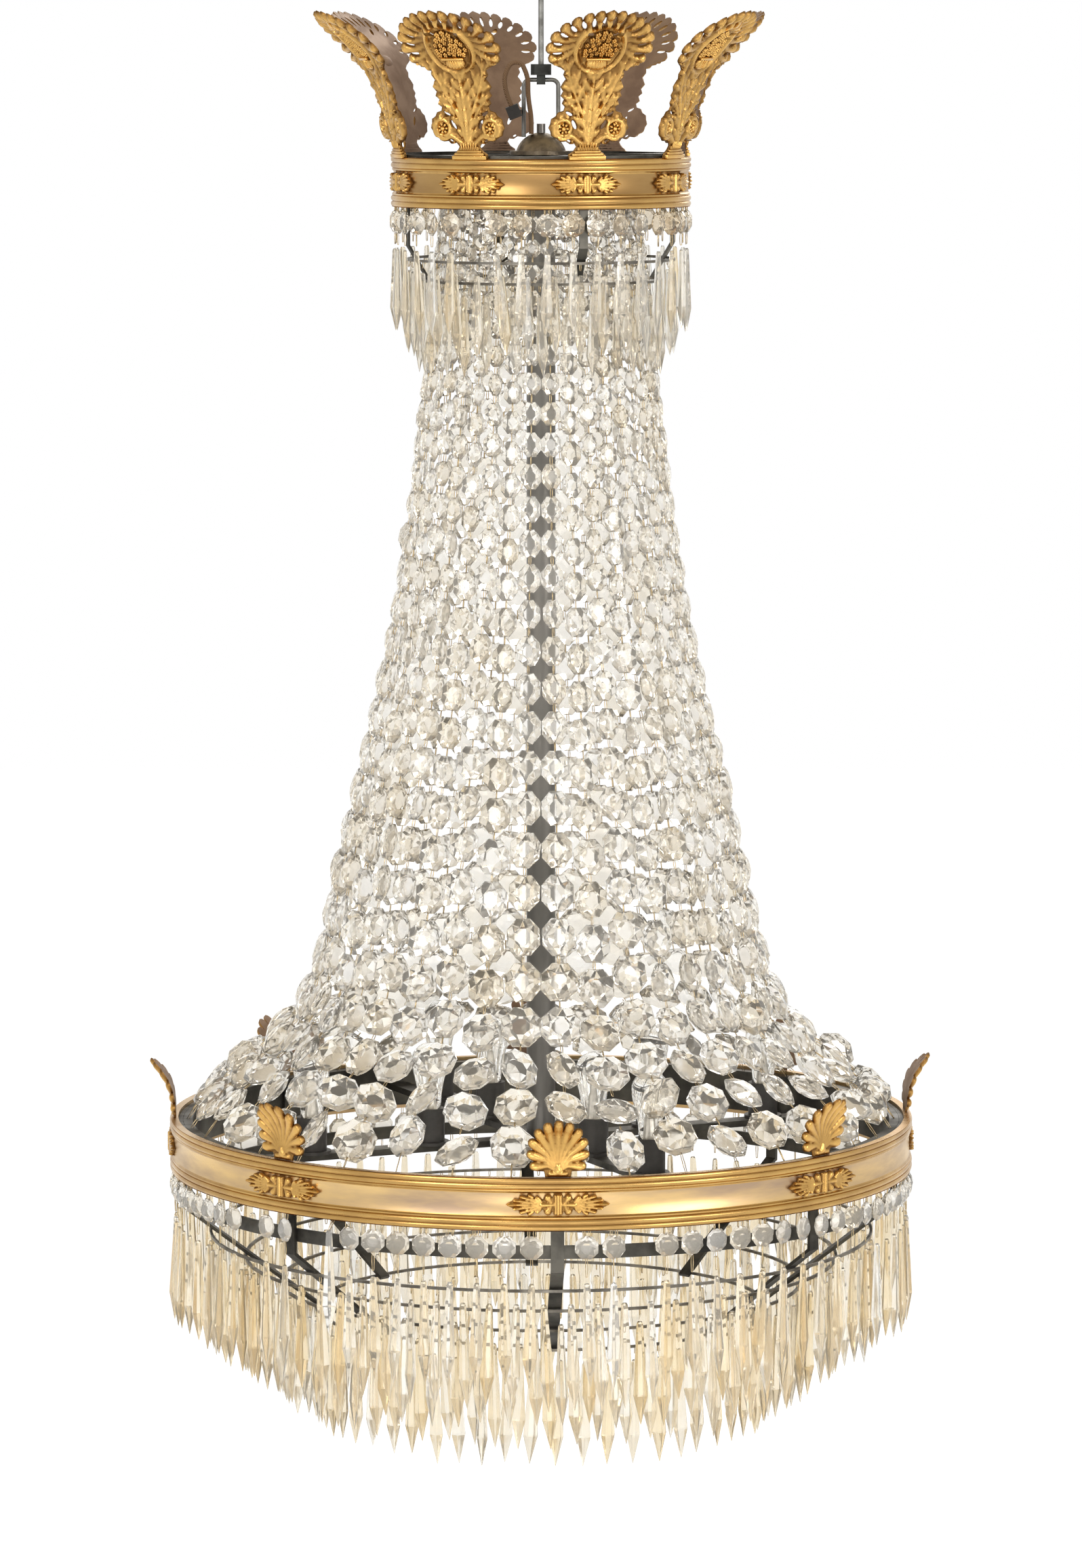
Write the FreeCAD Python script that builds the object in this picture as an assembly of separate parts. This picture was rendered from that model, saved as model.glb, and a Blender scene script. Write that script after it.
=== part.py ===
import FreeCAD, Part
import math
import os

V = FreeCAD.Vector

# Crystal chandelier. Millimetres, +Z up, +Y to the back, front towards -Y.
# The origin is the centre of the bore of the ceiling eye, which carries the whole weight.
# An azimuth is counted in degrees from the front, positive towards +X.

SEAT_GAP = 0.25            # between pieces that bear on each other
RUNNING_GAP = 0.06         # radial clearance of the stirrup's bar in its lug

# Suspension: eye, rod, hook block and stirrup
EYE_BORE_R = 10.0
EYE_RIM = 4.5
EYE_THICK = 6.0
ROD_R = 2.5
ROD_LENGTH = 64.5
BLOCK_WIDTH = 19.0
BLOCK_DEPTH = 14.0
BLOCK_HEIGHT = 10.0
LUG_WIDTH = 8.0
LUG_DEPTH = 9.0
LUG_WALL = 2.4
STIRRUP_STOCK_R = 2.0
STIRRUP_HALF_WIDTH = 16.0
STIRRUP_CORNER_R = 6.0
STIRRUP_DROP = 65.5        # from the stirrup's bar down to the foot of the dome

# Cap, flange and stem
DOME_R = 23.0
DOME_HEIGHT = 17.0
FLANGE_R = 29.0
FLANGE_THICK = 3.5
NIPPLE_R = 4.0
NIPPLE_STAND = 8.0
NIPPLE_TAIL = 24.0
STEM_R = 13.5
STEM_WALL = 2.0
STEM_LENGTH = 917.5

# Gilt bands, one pattern in two sizes
BAND_MOULD = 14.0          # height of each moulding
BAND_RECESS = 2.6          # the flat frieze lies this far behind the mouldings
BAND_EASE = 0.8            # the band's edges are this much smaller in radius than its reeds
REED_DIP = 0.9             # depth of the grooves beside the reeds
UPPER_BAND_R = 139.4
UPPER_BAND_HEIGHT = 46.0
UPPER_BAND_WALL = 5.4
LOWER_BAND_R = 350.0
LOWER_BAND_HEIGHT = 48.0
LOWER_BAND_WALL = 8.0

# Iron frame behind the bands
UPPER_RING_THICK = 3.7
UPPER_RING_PROUD = 2.5     # the ring shows this much above the band
UPPER_RING_HEIGHT = 42.0
UPPER_BAND_SUNK = 1.5      # the band's top lies this far below the top of the arms
UPPER_ARM_WIDTH = 16.0
UPPER_ARM_THICK = 4.0
UPPER_HUB_R = 24.0
LOWER_RING_THICK = 4.0
LOWER_RING_HEIGHT = 41.0
LOWER_RING_SUNK = 3.0      # the ring's top lies this far below the band's
LOWER_BAND_RISE = 21.0     # the band's top stands this far above the arms
LOWER_ARM_WIDTH = 20.0
LOWER_ARM_THICK = 6.0
LOWER_HUB_R = 34.0
ARM_COUNT = 4
ARM_AZIMUTH = 25.0
NUT_ACROSS = 30.0
NUT_HEIGHT = 12.0
FINIAL_R = 9.0

# Tent of octagon strands
STRANDS = 39               # odd, so that the far strands show between the near ones
STRAND_BEADS = 29
STRAND_NODES = 4
PIN_NODES = 2
TENT_TOP_R = 88.0
TENT_HOOP_WIDTH = 4.0
TENT_HOOP_THICK = 4.0
TENT_FOOT_WIDTH = 9.0
# The strand's sweep: (share of the drop, share of the spread) at its bends
TENT_SWEEP = [(0.21, 0.073), (0.49, 0.214), (0.75, 0.425), (0.89, 0.60), (0.95, 0.83)]
PITCH_TOP = 20.0           # bead pitch at the top, before it is fitted to the strand
PITCH_FOOT = 46.0
BEAD_GAP = 6.5             # pin length between two beads
BEAD_FILL = 0.96           # bead width as a share of the room beside its neighbours
BEAD_WIDTH_MAX = 36.0
SLACK_TOP = [0.0, 9.0, 3.5, 13.0, 6.0]    # by this much the first pin of each kind of strand
SLACK_FOOT = [6.0, 0.0, 13.0, 3.0, 9.0]   # is longer, and by this much its last one
BEAD_THICK_SHARE = 0.42    # thickness over width
TABLE_SHARE = 0.45         # the flat facet over the bead's width
PIN = 1.2

# Garland octagons and spear prisms
GARLAND_BEAD = 21.0
GARLAND_THICK = 9.5
GARLAND_WIRE = 5.5         # wire between the lower band and its octagons
UPPER_GARLAND_WIRE = 3.5
WIRE_SPREAD = 5.0          # the two wires of an octagon stand this far apart
LOWER_PIN = 15.0           # from the octagon down to its spear
UPPER_PIN = 9.0
HOOK_DROP = 4.0            # from a hoop's wire to its spear
SPEAR_LENGTH = 97.0
SPEAR_WIDTH = 14.0
SPEAR_THICK = 9.6
UPPER_SPEAR_LENGTH = 77.0
UPPER_SPEAR_WIDTH = 12.4
UPPER_SPEAR_THICK = 8.0
SPEAR_TOP_SHARE = 0.45     # width of the spear's top over its widest
SPEAR_WIDEST = 0.72        # where the spear is widest, from its top
SPEAR_TIP = 0.9
LOWER_TIERS = [88, 80, 72, 64, 56]
UPPER_TIERS = [36, 32, 28]
TIER_PHASES = [0.0, 0.5, 0.2, 0.72, 0.28]   # where each tier starts, as a share of its pitch
GARLAND_AZIMUTH = 2.7
UPPER_GARLAND_AZIMUTH = 22.5
GARLAND_MISSING = [0, 3, 75, 78, 79]   # places whose crystals are lost, counted from the first
UPPER_GARLAND_MISSING = [31]
LOWER_TIER_STEP = 33.0
LOWER_TIER_DROP = 24.8
LOWER_FIRST_DROP = 24.0    # the second tier's hoop lies this far below the first tier's hooks
UPPER_TIER_STEP = 12.0
UPPER_TIER_DROP = 19.5
HOOP_WIRE = 2.5
BRACKET_WIDTH = 12.0
BRACKET_THICK = 3.0
UPPER_BRACKET_WIDTH = 8.0
UPPER_BRACKET_THICK = 2.0
BRACKET_OVERHANG = 8.0     # the strips reach this far past their last hoop
UPPER_BRACKET_OVERHANG = 3.0
BRACKET_HEADROOM = 8.0     # their tops lie this far below the tent's hoops
BRACKETS = 8
UPPER_BRACKETS = 4
INNER_BAR_HEIGHT = 12.0
INNER_BAR_THICK = 3.0
FRINGE_SET_IN = 1.0        # the outer octagons hang this far in front of the wall's middle
LEAN_DEG = 17.0
LEAN_AZIMUTH = -32.5
LEAN_WIRE_IN = 2.5         # the wire of the askew spear starts this far inside the band's face
LEAN_WIRE = 8.0
LOOSE_PLACE = 2            # which spear of the first tier hangs loose, counted like them

# Crown palmettes, shells and frieze mounts
ORNAMENTS = 8
PALMETTE_AZIMUTH = 17.5
PALMETTE_THICK = 3.0
PALMETTE_RELIEF = 2.4
PALMETTE_REACH = 83.0      # how far the tip stands out from the foot
PALMETTE_HEIGHT = 135.0
PALMETTE_HALF_WIDTH = 52.0
MEDALLION_R = 24.0
SHELL_AZIMUTH = 2.5
SHELL_THICK = 2.5
SHELL_RELIEF = 2.0
SHELL_REACH = 23.0
SHELL_HEIGHT = 55.0
SHELL_HALF_WIDTH = 28.5
SHELL_FOOT_HALF = 11.5
SHELL_RIBS = 11
SHELL_DROOP = 28.0         # how far its lowest ribs point below the level, in degrees
LOWER_MOUNT_LENGTH = 93.0
UPPER_MOUNT_LENGTH = 67.0
MOUNT_THICK = 4.5

# Lamps on the lower arms, and the flex at the stirrup
LAMP_RADII = [115.0, 235.0]
HOLDER_R = 14.0
HOLDER_HEIGHT = 34.0
HOLDER_FLANGE = 4.0        # the holder's foot stands this far out
HOLDER_FLANGE_THICK = 3.0
BULB_R = 17.0
BULB_LENGTH = 62.0
FLEX_R = 2.2
FLEX_X = -9.0              # the flex leaves the dome at this place
FLEX_Y = -6.0
TERMINAL = 12.0
TIE = 4.0                  # thickness of the clip between the terminal and the stirrup

# Levels that follow from the sizes above
EYE_OUTER_R = EYE_BORE_R + EYE_RIM
BLOCK_TOP = -EYE_BORE_R - EYE_RIM - ROD_LENGTH
BAR_Z = BLOCK_TOP - BLOCK_HEIGHT - LUG_WALL - STIRRUP_STOCK_R
DOME_FOOT = BAR_Z - STIRRUP_DROP
FLANGE_FOOT = DOME_FOOT - FLANGE_THICK
UPPER_ARM_FOOT = FLANGE_FOOT - UPPER_ARM_THICK
UPPER_BAND_TOP = FLANGE_FOOT - UPPER_BAND_SUNK
UPPER_BAND_FOOT = UPPER_BAND_TOP - UPPER_BAND_HEIGHT
UPPER_RING_TOP = UPPER_BAND_TOP + UPPER_RING_PROUD
UPPER_RING_R = UPPER_BAND_R - UPPER_BAND_WALL - SEAT_GAP
UPPER_RING_INNER = UPPER_RING_R - UPPER_RING_THICK
STEM_FOOT = UPPER_ARM_FOOT - STEM_LENGTH
LOWER_ARM_FOOT = STEM_FOOT - LOWER_ARM_THICK
LOWER_BAND_TOP = STEM_FOOT + LOWER_BAND_RISE
LOWER_BAND_FOOT = LOWER_BAND_TOP - LOWER_BAND_HEIGHT
LOWER_RING_TOP = LOWER_BAND_TOP - LOWER_RING_SUNK
LOWER_RING_R = LOWER_BAND_R - LOWER_BAND_WALL - SEAT_GAP
LOWER_RING_INNER = LOWER_RING_R - LOWER_RING_THICK
TENT_FOOT_R = LOWER_RING_INNER - SEAT_GAP - TENT_FOOT_WIDTH / 2
TENT_START = UPPER_ARM_FOOT - TENT_HOOP_THICK - SEAT_GAP
TENT_END = LOWER_RING_TOP + SEAT_GAP
LOWER_FRINGE_R = LOWER_BAND_R - LOWER_BAND_WALL / 2 - FRINGE_SET_IN
UPPER_FRINGE_R = UPPER_BAND_R - UPPER_BAND_WALL / 2 - FRINGE_SET_IN
LOWER_SPEAR_TOP = LOWER_BAND_FOOT - GARLAND_WIRE - GARLAND_BEAD - LOWER_PIN
UPPER_SPEAR_TOP = UPPER_BAND_FOOT - UPPER_GARLAND_WIRE - GARLAND_BEAD - UPPER_PIN


# ---------------------------------------------------------------- small tools

def save(name, solids):
    Part.makeCompound(solids).exportStep("parts/" + name + ".step")


def turned(shape, azimuth):
    copy = shape.copy()
    copy.rotate(V(0, 0, 0), V(0, 0, 1), azimuth)
    return copy


def azimuths(count, first=0.0):
    return [first + 360.0 * i / count for i in range(count)]


def ring(r_in, r_out, z_foot, height):
    outer = Part.makeCylinder(r_out, height, V(0, 0, z_foot))
    return outer.cut(Part.makeCylinder(r_in, height, V(0, 0, z_foot)))


def box(x0, x1, y0, y1, z0, z1):
    return Part.makeBox(x1 - x0, y1 - y0, z1 - z0, V(x0, y0, z0))


def facets(rings):
    """A closed solid with flat faces through rings of points, flat at both ends."""
    faces = []
    count = len(rings[0])
    for a, b in zip(rings, rings[1:]):
        for i in range(count):
            j = (i + 1) % count
            faces.append(Part.Face(Part.makePolygon([a[i], a[j], b[j], b[i], a[i]])))
    for end in (rings[0], rings[-1]):
        faces.append(Part.Face(Part.makePolygon(end + [end[0]])))
    shell = Part.Shell(faces)
    shell.sewShape()
    solid = Part.Solid(shell)
    return solid if solid.Volume > 0 else solid.reversed()


def octagon(width, height, thick):
    """A cut octagon, its table facing the front, with sharp edges all round."""
    reach = 0.5 / math.cos(math.radians(22.5))
    rings = []
    for share, y in ((TABLE_SHARE, -thick / 2), (1.0, 0.0), (TABLE_SHARE, thick / 2)):
        corners = []
        for k in range(8):
            angle = math.radians(22.5 + 45.0 * k)
            x = share * width * reach * math.cos(angle)
            z = share * height * reach * math.sin(angle)
            corners.append(V(x, y, z))
        rings.append(corners)
    return facets(rings)


def spear(length, width, thick):
    """A spear prism that hangs from its top face at z = 0."""
    levels = [(0.0, SPEAR_TOP_SHARE), (-SPEAR_WIDEST * length, 1.0), (-length, SPEAR_TIP / width)]
    return facets([hexagon(width * share, thick * share, z) for z, share in levels])


def hexagon(width, thick, z):
    corners = []
    for k in range(6):
        angle = math.radians(60.0 * k)
        across = math.cos(math.radians(30.0))
        corners.append(V(width / 2 * math.cos(angle), thick / 2 * math.sin(angle) / across, z))
    return corners


def stand(shape, r, z, tilt=0.0):
    """Lean a piece back by tilt degrees and set it in front, at radius r and height z."""
    copy = shape.copy()
    turn = FreeCAD.Rotation(V(1, 0, 0), -tilt)
    copy.Placement = FreeCAD.Placement(V(0, -r, z), turn)
    return copy


def pin(upper, lower, aside=0.0):
    """A three-sided pin in the front radial plane between two (radius, z) points."""
    half = PIN / 2
    corners = [V(aside - half, half - upper[0], upper[1]), V(aside + half, half - upper[0], upper[1]),
               V(aside, -half - upper[0], upper[1])]
    face = Part.Face(Part.makePolygon(corners + [corners[0]]))
    return face.extrude(V(0, upper[0] - lower[0], lower[1] - upper[1]))


def sheet(points, near, far, half_width):
    """A sheet bent at (radius, height) points, from near to far in front of them."""
    sides = []
    for offset in (near, far):
        side = []
        for i, (r, z) in enumerate(points):
            r0, z0 = points[max(i - 1, 0)]
            r1, z1 = points[min(i + 1, len(points) - 1)]
            along = math.hypot(r1 - r0, z1 - z0)
            out = r + offset * (z1 - z0) / along
            side.append(V(-half_width, -out, z - offset * (r1 - r0) / along))
        sides.append(side)
    corners = sides[0] + sides[1][::-1]
    face = Part.Face(Part.makePolygon(corners + [corners[0]]))
    return face.extrude(V(2 * half_width, 0, 0))


def swept(foot_r, z0, reach, height, sweep):
    """The (radius, z) bends of an ornament from its sweep, given as shares of its size."""
    return [(foot_r + out * reach, z0 + up * height) for out, up in sweep]


def bar_through(outline, depth_from, depth_to):
    """A prism along Y whose outline is a list of (x, z) corners."""
    corners = [V(x, -depth_to, z) for x, z in outline]
    face = Part.Face(Part.makePolygon(corners + [corners[0]]))
    return face.extrude(V(0, depth_to - depth_from, 0))


def disc_through(x, z, r, depth_from, depth_to):
    return Part.makeCylinder(r, depth_to - depth_from, V(x, -depth_to, z), V(0, 1, 0))


def mirrored(outline):
    return outline + [(-x, z) for x, z in reversed(outline)]


# ---------------------------------------------------------------- suspension

def hanger_rod():
    ring_y = V(0, -EYE_THICK / 2, 0)
    eye = Part.makeCylinder(EYE_OUTER_R, EYE_THICK, ring_y, V(0, 1, 0))
    rod = Part.makeCylinder(ROD_R, ROD_LENGTH + EYE_RIM, V(0, 0, BLOCK_TOP))
    bore = Part.makeCylinder(EYE_BORE_R, EYE_THICK, ring_y, V(0, 1, 0))
    return eye.fuse(rod).cut(bore).removeSplitter()


def hook_block():
    foot = BLOCK_TOP - BLOCK_HEIGHT
    half = BLOCK_WIDTH / 2
    head = box(-half, half, -BLOCK_DEPTH / 2, BLOCK_DEPTH / 2, foot, BLOCK_TOP)
    upright = [edge for edge in head.Edges if abs(edge.tangentAt(0).z) > 0.9]
    head = head.makeChamfer(BLOCK_DEPTH / 4, upright)
    lug_foot = BAR_Z - STIRRUP_STOCK_R - LUG_WALL
    lug = box(-LUG_WIDTH / 2, LUG_WIDTH / 2, -LUG_DEPTH / 2, LUG_DEPTH / 2, lug_foot, foot)
    hole_r = STIRRUP_STOCK_R + RUNNING_GAP
    hole = Part.makeCylinder(hole_r, BLOCK_WIDTH, V(-half, 0, BAR_Z), V(1, 0, 0))
    return head.fuse(lug).cut(hole).removeSplitter()


def dome_height(x):
    sphere_r = (DOME_R ** 2 + DOME_HEIGHT ** 2) / (2 * DOME_HEIGHT)
    return math.sqrt(sphere_r ** 2 - x ** 2) - (sphere_r - DOME_HEIGHT)


def stirrup():
    """An inverted U of round stock: its bar turns in the hook block, its feet are on the dome."""
    x, corner = STIRRUP_HALF_WIDTH, STIRRUP_CORNER_R
    foot = DOME_FOOT + dome_height(x - STIRRUP_STOCK_R) + SEAT_GAP
    bow = corner * math.sqrt(0.5)
    edges = []
    for side in (-1, 1):
        low, high = V(side * x, 0, foot), V(side * x, 0, BAR_Z - corner)
        top = V(side * (x - corner), 0, BAR_Z)
        middle = V(side * (x - corner + bow), 0, BAR_Z - corner + bow)
        edges.append(Part.LineSegment(low, high).toShape())
        edges.append(Part.Arc(high, middle, top).toShape())
    edges.append(Part.LineSegment(V(corner - x, 0, BAR_Z), V(x - corner, 0, BAR_Z)).toShape())
    path = Part.Wire(Part.__sortEdges__(edges))
    section = Part.Wire(Part.makeCircle(STIRRUP_STOCK_R, V(-x, 0, foot), V(0, 0, 1)))
    if path.Vertexes[0].Point.x > 0:
        section.translate(V(2 * x, 0, 0))
    return path.makePipeShell([section], True, False)


def dome():
    rim = V(DOME_R, 0, DOME_FOOT)
    hole_r = NIPPLE_R + SEAT_GAP
    crown = V(hole_r, 0, DOME_FOOT + dome_height(hole_r))
    middle = V(DOME_R * 0.7, 0, DOME_FOOT + dome_height(DOME_R * 0.7))
    foot = V(hole_r, 0, DOME_FOOT)
    edges = [Part.Arc(rim, middle, crown).toShape()]
    edges.append(Part.LineSegment(crown, foot).toShape())
    edges.append(Part.LineSegment(foot, rim).toShape())
    face = Part.Face(Part.Wire(edges))
    return face.revolve(V(0, 0, 0), V(0, 0, 1), 360)


def nipple():
    top = DOME_FOOT + DOME_HEIGHT + NIPPLE_STAND
    foot = UPPER_ARM_FOOT - NIPPLE_TAIL
    return Part.makeCylinder(NIPPLE_R, top - foot, V(0, 0, foot))


def stem():
    return ring(STEM_R - STEM_WALL, STEM_R, STEM_FOOT, STEM_LENGTH)


def round_path(points):
    """Straight runs joined by tangent arcs, each as large as its two runs allow."""
    edges = []
    start = points[0]
    for before, corner, after in zip(points, points[1:], points[2:]):
        back = (before - corner)
        ahead = (after - corner)
        run = min(back.Length, ahead.Length)
        back.normalize()
        ahead.normalize()
        half_turn = (math.pi - back.getAngle(ahead)) / 2
        cut = 0.45 * run
        radius = cut / math.tan(half_turn)
        enter, leave = corner + back * cut, corner + ahead * cut
        bisector = (back + ahead).normalize()
        apex = corner + bisector * (radius / math.cos(half_turn) - radius)
        edges.append(Part.LineSegment(start, enter).toShape())
        edges.append(Part.Arc(enter, apex, leave).toShape())
        start = leave
    edges.append(Part.LineSegment(start, points[-1]).toShape())
    return Part.Wire(edges)


def flex_route():
    """The flex comes out at the dome, makes a loop left of the stirrup and ends in its terminal."""
    low = DOME_FOOT + dome_height(math.hypot(FLEX_X, FLEX_Y) - FLEX_R) + SEAT_GAP
    return [V(FLEX_X, FLEX_Y, low), V(-9, -7, low + 16), V(-12, -9, low + 34), V(-12, -10, low + 52),
            V(-18, -11, low + 66), V(-28, -11, low + 66), V(-34, -11, low + 54),
            V(-33, -10, low + 40), V(-27.5, -9, low + 26)]


def flex():
    route = flex_route()
    path = round_path(route)
    section = Part.Wire(Part.makeCircle(FLEX_R, route[0], route[1] - route[0]))
    tube = path.makePipeShell([section], True, False)
    print("flex: volume over section times length",
          round(tube.Volume / (math.pi * FLEX_R ** 2 * path.Length), 4))
    return tube


def terminal():
    """A small block that the flex ends in, tied to the stirrup's left leg."""
    route = flex_route()
    along = route[-1] - route[-2]
    along.normalize()
    top = route[-1]
    half = TERMINAL / 2
    block = box(-half, half, -half * 0.7, half * 0.7, -TERMINAL, 0)
    turn = FreeCAD.Rotation(V(0, 0, -1), along)
    block.Placement = FreeCAD.Placement(top, turn)
    return block


def terminal_tie():
    route = flex_route()
    along = route[-1] - route[-2]
    along.normalize()
    middle = route[-1] + along * (TERMINAL / 2)
    leg_x = -STIRRUP_HALF_WIDTH - STIRRUP_STOCK_R - SEAT_GAP
    y_front = middle.y + TERMINAL * 0.35 + SEAT_GAP
    return box(middle.x - TIE / 2, leg_x, y_front, STIRRUP_STOCK_R,
               middle.z - TIE / 2, middle.z + TIE / 2)


# ---------------------------------------------------------------- bands and frame

def band(r_out, wall, top, height):
    """A gilt band: two reeds and a fillet above and below a flat frieze."""
    foot = top - height
    frieze = r_out - BAND_RECESS
    reed = BAND_MOULD * 0.36
    lower = [(r_out - wall, foot), (r_out - BAND_EASE, foot)]
    lower += reeds(r_out, foot, reed)
    lower += [(frieze, foot + BAND_MOULD)]
    upper = [(frieze, top - BAND_MOULD)]
    upper += [(r, foot + top - z) for r, z in reversed(reeds(r_out, foot, reed))]
    upper += [(r_out - BAND_EASE, top), (r_out - wall, top)]
    corners = [V(r, 0, z) for r, z in lower + upper]
    face = Part.Face(Part.makePolygon(corners + [corners[0]]))
    return face.revolve(V(0, 0, 0), V(0, 0, 1), 360)


def reeds(r_out, foot, reed):
    """Outline of two half-round reeds and the fillet beside them, as flats."""
    outline = []
    for k in range(2):
        base = foot + k * reed
        outline += [(r_out, base + reed * 0.25), (r_out, base + reed * 0.75)]
        outline.append((r_out - REED_DIP, base + reed))
    outline.append((r_out - REED_DIP, foot + BAND_MOULD * 0.88))
    return outline


def spider(hub_r, hole_r, arm_width, arm_thick, reach, foot):
    """A hub with flat arms that reach the ring."""
    wheel = Part.makeCylinder(hub_r, arm_thick, V(0, 0, foot))
    arm = box(-arm_width / 2, arm_width / 2, -reach, 0, foot, foot + arm_thick)
    for azimuth in azimuths(ARM_COUNT, ARM_AZIMUTH):
        wheel = wheel.fuse(turned(arm, azimuth))
    hole = Part.makeCylinder(hole_r, arm_thick, V(0, 0, foot))
    return wheel.cut(hole).removeSplitter()


def arm_reach(ring_inner, arm_width):
    return math.sqrt((ring_inner - SEAT_GAP) ** 2 - (arm_width / 2) ** 2)


def bottom_nut():
    corners = []
    for k in range(6):
        angle = math.radians(60.0 * k)
        across = NUT_ACROSS / 2 / math.cos(math.radians(30.0))
        corners.append(V(across * math.cos(angle), across * math.sin(angle), LOWER_ARM_FOOT))
    face = Part.Face(Part.makePolygon(corners + [corners[0]]))
    nut = face.extrude(V(0, 0, -NUT_HEIGHT))
    tip = Part.makeSphere(FINIAL_R, V(0, 0, LOWER_ARM_FOOT - NUT_HEIGHT - FINIAL_R * 0.7))
    return nut.fuse(tip).removeSplitter()


# ---------------------------------------------------------------- tent of octagons

def strand_edge():
    """The line of one strand in the front radial plane, from the top hoop to the foot hoop."""
    drop = TENT_START - TENT_END
    spread = TENT_FOOT_R - TENT_TOP_R
    stops = [(0.0, 0.0)] + TENT_SWEEP + [(1.0, 1.0)]
    points = []
    for down, out in stops:
        points.append(V(TENT_TOP_R + out * spread, 0, TENT_START - down * drop))
    curve = Part.BSplineCurve()
    curve.interpolate(points)
    return curve.toShape()


def strand_places(kind):
    """Centre, tilt, width and height of each bead of one kind of strand, from the top down."""
    line = strand_edge()
    pitches = []
    for i in range(STRAND_BEADS):
        pitches.append(PITCH_TOP + (PITCH_FOOT - PITCH_TOP) * i / (STRAND_BEADS - 1))
    fit = (line.Length - BEAD_GAP - SLACK_TOP[kind] - SLACK_FOOT[kind]) / sum(pitches)
    places = []
    run = BEAD_GAP / 2 + SLACK_TOP[kind]
    for pitch in pitches:
        step = pitch * fit
        along = line.getParameterByLength(run + step / 2)
        point, way = line.valueAt(along), line.tangentAt(along)
        room = 2 * math.pi * point.x / STRANDS
        width = min(room * BEAD_FILL, BEAD_WIDTH_MAX)
        tilt = math.degrees(math.atan2(way.x, -way.z))
        places.append((point.x, point.z, tilt, width, step - BEAD_GAP))
        run += step
    return places


def ends(place):
    """The (radius, z) points at the top and bottom of a bead, a seat's gap clear of it."""
    r, z, tilt, _, height = place
    reach = height / 2 + SEAT_GAP
    lean = math.radians(tilt)
    over, up = reach * math.sin(lean), reach * math.cos(lean)
    return (r - over, z + up), (r + over, z - up)


def strand(kind):
    beads = []
    for r, z, tilt, width, height in strand_places(kind):
        bead = octagon(width, height, width * BEAD_THICK_SHARE)
        beads.append(stand(bead, r, z, tilt))
    return beads


def strand_pins(kind):
    pins = []
    start = (TENT_TOP_R, TENT_START)
    for place in strand_places(kind):
        top, bottom = ends(place)
        pins.append(pin(start, top))
        start = bottom
    pins.append(pin(start, (TENT_FOOT_R, TENT_END)))
    return pins


def shares(places, count):
    """The places in so many groups that follow each other."""
    total = len(places)
    return [places[n * total // count:(n + 1) * total // count] for n in range(count)]


def tent():
    """All strands. Their kinds follow each other alike on both sides of the front."""
    kinds = len(SLACK_TOP)
    beads = [strand(kind) for kind in range(kinds)]
    pins = [strand_pins(kind) for kind in range(kinds)]
    places = []
    for n, azimuth in enumerate(azimuths(STRANDS, 180.0 / STRANDS)):
        places.append((azimuth, min(n, STRANDS - 1 - n) % kinds))
    for n, group in enumerate(shares(places, STRAND_NODES)):
        save(f"tent_strands_{n + 1}", [turned(b, a) for a, kind in group for b in beads[kind]])
    for n, group in enumerate(shares(places, PIN_NODES)):
        save(f"tent_pins_{n + 1}", [turned(p, a) for a, kind in group for p in pins[kind]])


# ---------------------------------------------------------------- fringes

def tier_radius(first, step, k):
    return first - k * step


def tier_places(count, first, k):
    """Azimuths of the spears of tier k."""
    return azimuths(count, first + TIER_PHASES[k] * 360.0 / count)


def hoop(r, z):
    return ring(r - HOOP_WIRE / 2, r + HOOP_WIRE / 2, z - HOOP_WIRE / 2, HOOP_WIRE)


def bracket(root, bend, tip, width, thick):
    """A flat strip down from the ring and then inwards over the hoops."""
    half = thick / 2
    lean = math.atan2(bend[0] - tip[0], bend[1] - tip[1])
    mitre = half * math.tan(lean / 2)
    end_r, end_z = half * math.cos(lean), half * math.sin(lean)
    outline = [(root[0] + half, root[1]), (bend[0] + half, bend[1] - mitre)]
    outline.append((tip[0] + end_r, tip[1] - end_z))
    outline.append((tip[0] - end_r, tip[1] + end_z))
    outline += [(bend[0] - half, bend[1] + mitre), (root[0] - half, root[1])]
    corners = [V(-width / 2, -r, z) for r, z in outline]
    face = Part.Face(Part.makePolygon(corners + [corners[0]]))
    return face.extrude(V(width, 0, 0))


def hoop_strip(r_bend, r_tip, hoop_r, hoop_z, step, drop, thick):
    """Bend and tip of a bracket that lies just over a row of hoops."""
    long = math.hypot(step, drop)
    reach = HOOP_WIRE / 2 * (step + drop) / long + SEAT_GAP + thick / 2
    over_r, over_z = hoop_r - reach * drop / long, hoop_z + reach * step / long
    slope = drop / step

    def level(at):
        return over_z - (over_r - at) * slope

    return (r_bend, level(r_bend)), (r_tip, level(r_tip))


def garland(r, top, wire, lower_pin):
    """An octagon on its pair of wires, the pin for its spear and the spear's height."""
    bead_z = top - wire - GARLAND_BEAD / 2
    bead = stand(octagon(GARLAND_BEAD, GARLAND_BEAD, GARLAND_THICK), r, bead_z)
    wires = []
    for side in (-1, 1):
        wires.append(pin((r, top - SEAT_GAP), (r, top - wire + SEAT_GAP), side * WIRE_SPREAD / 2))
    foot = bead_z - GARLAND_BEAD / 2
    link = pin((r, foot - SEAT_GAP), (r, foot - lower_pin + SEAT_GAP))
    return bead, wires, link, foot - lower_pin


def kept_places(places, missing):
    return [azimuth for n, azimuth in enumerate(places) if n not in missing]


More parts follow.
